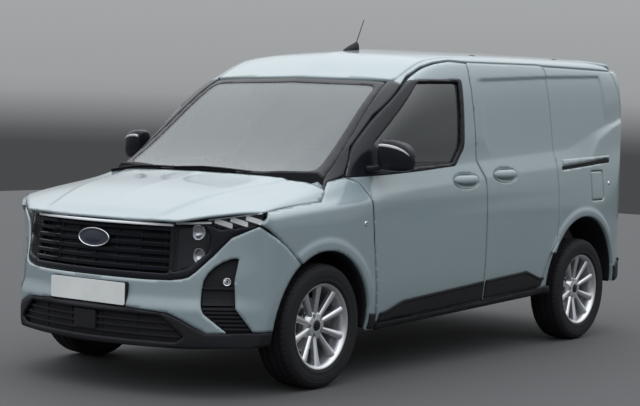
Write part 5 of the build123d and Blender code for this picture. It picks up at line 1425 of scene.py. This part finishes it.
# Number plates: blank plastic plates with round corners, white in front on a black holder and yellow
# behind, screwed to the bumper and the doors.
def plate(name, low, high, radius, finish, steps=5):
    """A box with its four edges along y rounded, and all its sharp edges bevelled."""
    (x_low, y_low, z_low), (x_high, y_high, z_high) = low, high
    outline = []
    for quarter_turn, (x, z, su, sv) in enumerate(((x_high, z_high, 1, 1), (x_low, z_high, -1, 1),
                                                   (x_low, z_low, -1, -1), (x_high, z_low, 1, -1))):
        angle = np.linspace(0, math.pi / 2, steps + 1) + quarter_turn * math.pi / 2
        outline += list(zip(x + radius * (np.cos(angle) - su), z + radius * (np.sin(angle) - sv)))
    x, z = np.transpose(outline)
    shell = grid_points(x, [[y_low], [y_high]], z), tube_faces(2, len(outline))
    piece = add_piece(name, shell, finish, "root", smooth=False, closed=True)
    bevel = piece.modifiers.new("edge", "BEVEL")
    bevel.width = 0.0012
    bevel.segments = 2
    bevel.limit_method = "ANGLE"
    bevel.angle_limit = math.radians(40)
    return piece


front_plate = plate("front_plate", (-0.260, -2.1475, 0.437), (0.260, -2.1425, 0.548), 0.010, white_plate)
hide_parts("number_plates")
holder = plate("plate_holder", (-0.2635, -2.1430, 0.4335), (0.2635, -2.1180, 0.5515), 0.011, black_plastic)
rear_plate = plate("rear_plate", (-0.260, 2.1640, 0.433), (0.260, 2.1685, 0.544), 0.010, yellow_plate)


# Shut-line shade: black strips down in the gaps round the loading doors, the upper edge of
# the cab doors and the fuel flap, and in the roof seams. They are painted shade, where the gaps fall dark.
GAP_SHADE_DEPTH, GAP_SHADE_RADIUS = 0.011, 0.007
FLAP_GAP_SHADE_RADIUS = 0.005
SEAM_DEPTH, SEAM_RADIUS = 0.006, 0.005


def gap_strip(skin, outline, depth, radius, closed=True):
    """A round strip that follows an outline at a depth under a skin, as (points, faces)."""
    loop = np.asarray(outline, float)
    if closed:
        loop = np.concatenate([loop, loop[:1]])
    steps = run_length(loop)
    at = np.linspace(0, steps[-1], int(steps[-1] / 0.016))
    if closed:
        at = at[:-1]
    middle = np.stack([np.interp(at, steps, loop[:, k]) for k in (0, 1)], axis=1)
    ahead = np.roll(middle, -1, axis=0) - np.roll(middle, 1, axis=0)
    if not closed:
        ahead[0], ahead[-1] = ahead[1], ahead[-2]
    ahead /= np.linalg.norm(ahead, axis=1, keepdims=True)
    turn = ring(6)
    across = radius * np.cos(turn)
    return on_skin(skin, middle[:, :1] - ahead[:, 1:] * across, middle[:, 1:] + ahead[:, :1] * across,
                   -depth + radius * 0.7 * np.sin(turn), ends="loop" if closed else "both")


door_run = door_outline[door_outline[:, 1] > 0.60]
side_gap_shade = joined(gap_strip(side_skin, rounded(LOAD_DOOR, 0.010), GAP_SHADE_DEPTH, GAP_SHADE_RADIUS),
                    gap_strip(side_skin, door_run, GAP_SHADE_DEPTH, GAP_SHADE_RADIUS, closed=False),
                    gap_strip(side_skin, rounded(FLAP, 0.012), GAP_SHADE_DEPTH, FLAP_GAP_SHADE_RADIUS))
seam_run = [(ROOF_SEAM, -0.44), (ROOF_SEAM, 1.98)]
roof_seam = gap_strip(top_skin, seam_run, SEAM_DEPTH, SEAM_RADIUS, closed=False)
# Black strips in the shut lines and roof seams: painted shade.
gap_shade = add_piece("gap_shade_strips", joined(side_gap_shade, flipped(side_gap_shade), roof_seam, flipped(roof_seam)),
                  black_plastic, "root", closed=True)

# Windscreen wipers: two thin arms on their spindles at the screen's foot, each with a rubber blade,
# lying along the bottom of the glass.
WIPER_SPANS = ((0.330, -0.230), (-0.210, -0.690))
SPINDLE_Y = -1.302
SPINDLE = [(0.0, 0.0110), (0.150, 0.0110), (0.157, 0.0080), (0.158, 0.0005), (0.0, 0.0005)]
BLADE_Y = [-1.2990, -1.2930, -1.2930, -1.2990]
BLADE_RISE = np.array([-0.010, -0.010, 0.006, 0.006])
spindle_points, spindle_faces = lathe(SPINDLE, 16)
arm_shells = []
share = np.linspace(0, 1, 30)[:, None]
arm_turn = ring(8)
for spindle, tip in WIPER_SPANS:
    x = np.linspace(spindle, tip, 30)[:, None]
    base = top_skin(x.ravel(), np.full(30, -1.300))[:, 2:]
    arm_z = base + 0.014 + 0.006 * np.sin(math.pi * share)
    arm_shells.append((grid_points(x, -1.300 - 0.004 * share + (0.007 - 0.003 * share) * np.cos(arm_turn),
                                   arm_z + (0.006 - 0.002 * share) * np.sin(arm_turn)), tube_faces(30, 8)))
    blade_x = np.linspace(spindle - 0.10, tip, 30)[:, None]
    blade_z = top_skin(blade_x.ravel(), np.full(30, -1.296))[:, 2:] + 0.008
    arm_shells.append((grid_points(blade_x, BLADE_Y, blade_z + BLADE_RISE), tube_faces(30, 4)))
    upright = spindle_points[:, [1, 2, 0]] + (spindle, SPINDLE_Y, base[0, 0] - 0.136)
    arm_shells.append((upright, spindle_faces))
wiper_arms = add_piece("wiper_arms", joined(*arm_shells), black_plastic, "root", closed=True)
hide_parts("wipers")

# Roof aerial: a rubber foot moulded to a point in front and screwed to the roof, with a thin rod
# leaning back from it.
FOOT_ROWS = np.array([(-0.068, 0.002, 0.0), (-0.050, 0.014, 0.010), (-0.010, 0.021, 0.024),
                      (0.030, 0.024, 0.036), (0.060, 0.022, 0.046), (0.078, 0.014, 0.044),
                      (0.086, 0.004, 0.020)])
ROD_LOW, ROD_HIGH = np.array([0.0, 0.062, 1.826]), np.array([0.0, 0.137, 1.972])
ROD_SIDE, ROD_ACROSS = np.array([1.0, 0.0, 0.0]), np.array([0.0, 0.889, -0.457])
ROD_SHARE = np.array([0, 0.06, 0.07, 0.97, 1.0])[:, None, None]
ROD_RADIUS = np.array([0.0055, 0.0050, 0.0030, 0.0022, 0.0012])[:, None, None]
foot_y = np.linspace(-0.068, 0.086, 24)
foot_half, foot_rise = (np.interp(foot_y, FOOT_ROWS[:, 0], FOOT_ROWS[:, k])[:, None] for k in (1, 2))
foot_base = top_skin(np.zeros(24), foot_y)[:, 2:] - 0.004
foot_arc = np.linspace(0, math.pi, 11)
aerial_foot = (grid_points(foot_half * np.cos(foot_arc), foot_y[:, None],
                           foot_base + (foot_rise + 0.004) * np.sin(foot_arc)), tube_faces(24, 11))
rod_turn = ring(10)[None, :, None]
rod_points = (ROD_LOW + (ROD_HIGH - ROD_LOW) * ROD_SHARE
              + ROD_RADIUS * (np.cos(rod_turn) * ROD_SIDE + np.sin(rod_turn) * ROD_ACROSS)).reshape(-1, 3)
aerial_shell = joined(aerial_foot, (rod_points, tube_faces(5, 10)))
aerial_piece = add_piece("aerial_rod", aerial_shell, black_plastic, "root", closed=True)
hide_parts("aerial")

# Roof plugs: small round black plastic covers pushed into the roof over the four threaded points for
# a rack.
plugs = [button(top_skin, x, y, 0.017, 0.002) for x in (-0.600, 0.600) for y in (0.420, 1.400)]
roof_plugs = add_piece("roof_plugs", joined(*plugs), black_plastic, "root", closed=True)


# Front seats: foam under woven cloth, a base, a leaning back and a head rest each, on dark plinths
# bolted to the floor, with steel posts under the head rests.
SEAT_X = (-0.370, 0.370)
BACK_LEAN = 0.22
REST_LEAN = 0.15


def pad(middle, half, lean=0.0, power=3.6, around=36, rings=19):
    """A crowned pad: |x|^p + |y|^p + |z|^p = 1 scaled to its half sizes, then leant back about x."""
    polar = np.linspace(0, math.pi, rings)[:, None]
    turn = ring(around)
    shape = [np.sin(polar) * np.cos(turn), np.sin(polar) * np.sin(turn), np.cos(polar) * np.ones(around)]
    scale = sum(np.abs(part) ** power for part in shape) ** (-1 / power)
    x, y, z = (part * scale * size for part, size in zip(shape, half))
    y, z = y * math.cos(lean) + z * math.sin(lean), z * math.cos(lean) - y * math.sin(lean)
    return grid_points(x, y, z) + middle, tube_faces(*x.shape, "open")


def bolstered(side_middle, side_half, middle, half, lean=0.0):
    """Both seats' pads: a bolster either side of each seat, then the pad between them. The bolsters'
    x counts from the seat's middle."""
    out, *rest = side_middle
    return ([pad((x + side * out, *rest), side_half, lean) for x in SEAT_X for side in (-1, 1)]
            + [pad((x, *middle), half, lean) for x in SEAT_X])


pads = {
    "seat_bases": bolstered((0.145, -0.330, 0.590), (0.098, 0.245, 0.062),
                            (-0.330, 0.586), (0.150, 0.235, 0.058)),
    "seat_backs": bolstered((0.150, 0.085, 0.890), (0.082, 0.062, 0.310),
                            (0.088, 0.885), (0.150, 0.052, 0.290), BACK_LEAN),
    "head_rests": [pad((x, 0.190, 1.275), (0.118, 0.045, 0.085), REST_LEAN) for x in SEAT_X],
}
for name, shells in pads.items():
    cushion = add_piece(name, joined(*shells), fabric, "root", closed=True)
plinth_shells = [pad((x, -0.320, 0.436), (0.205, 0.225, 0.105), power=12) for x in SEAT_X]
plinth_shells += [pad((x + side * 0.040, 0.150, 1.180), (0.006, 0.006, 0.060), REST_LEAN, 4, 10, 7)
                  for x in SEAT_X for side in (-1, 1)]
plinths = add_piece("seat_plinths", joined(*plinth_shells), trim, "root", closed=True)
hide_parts("seats")
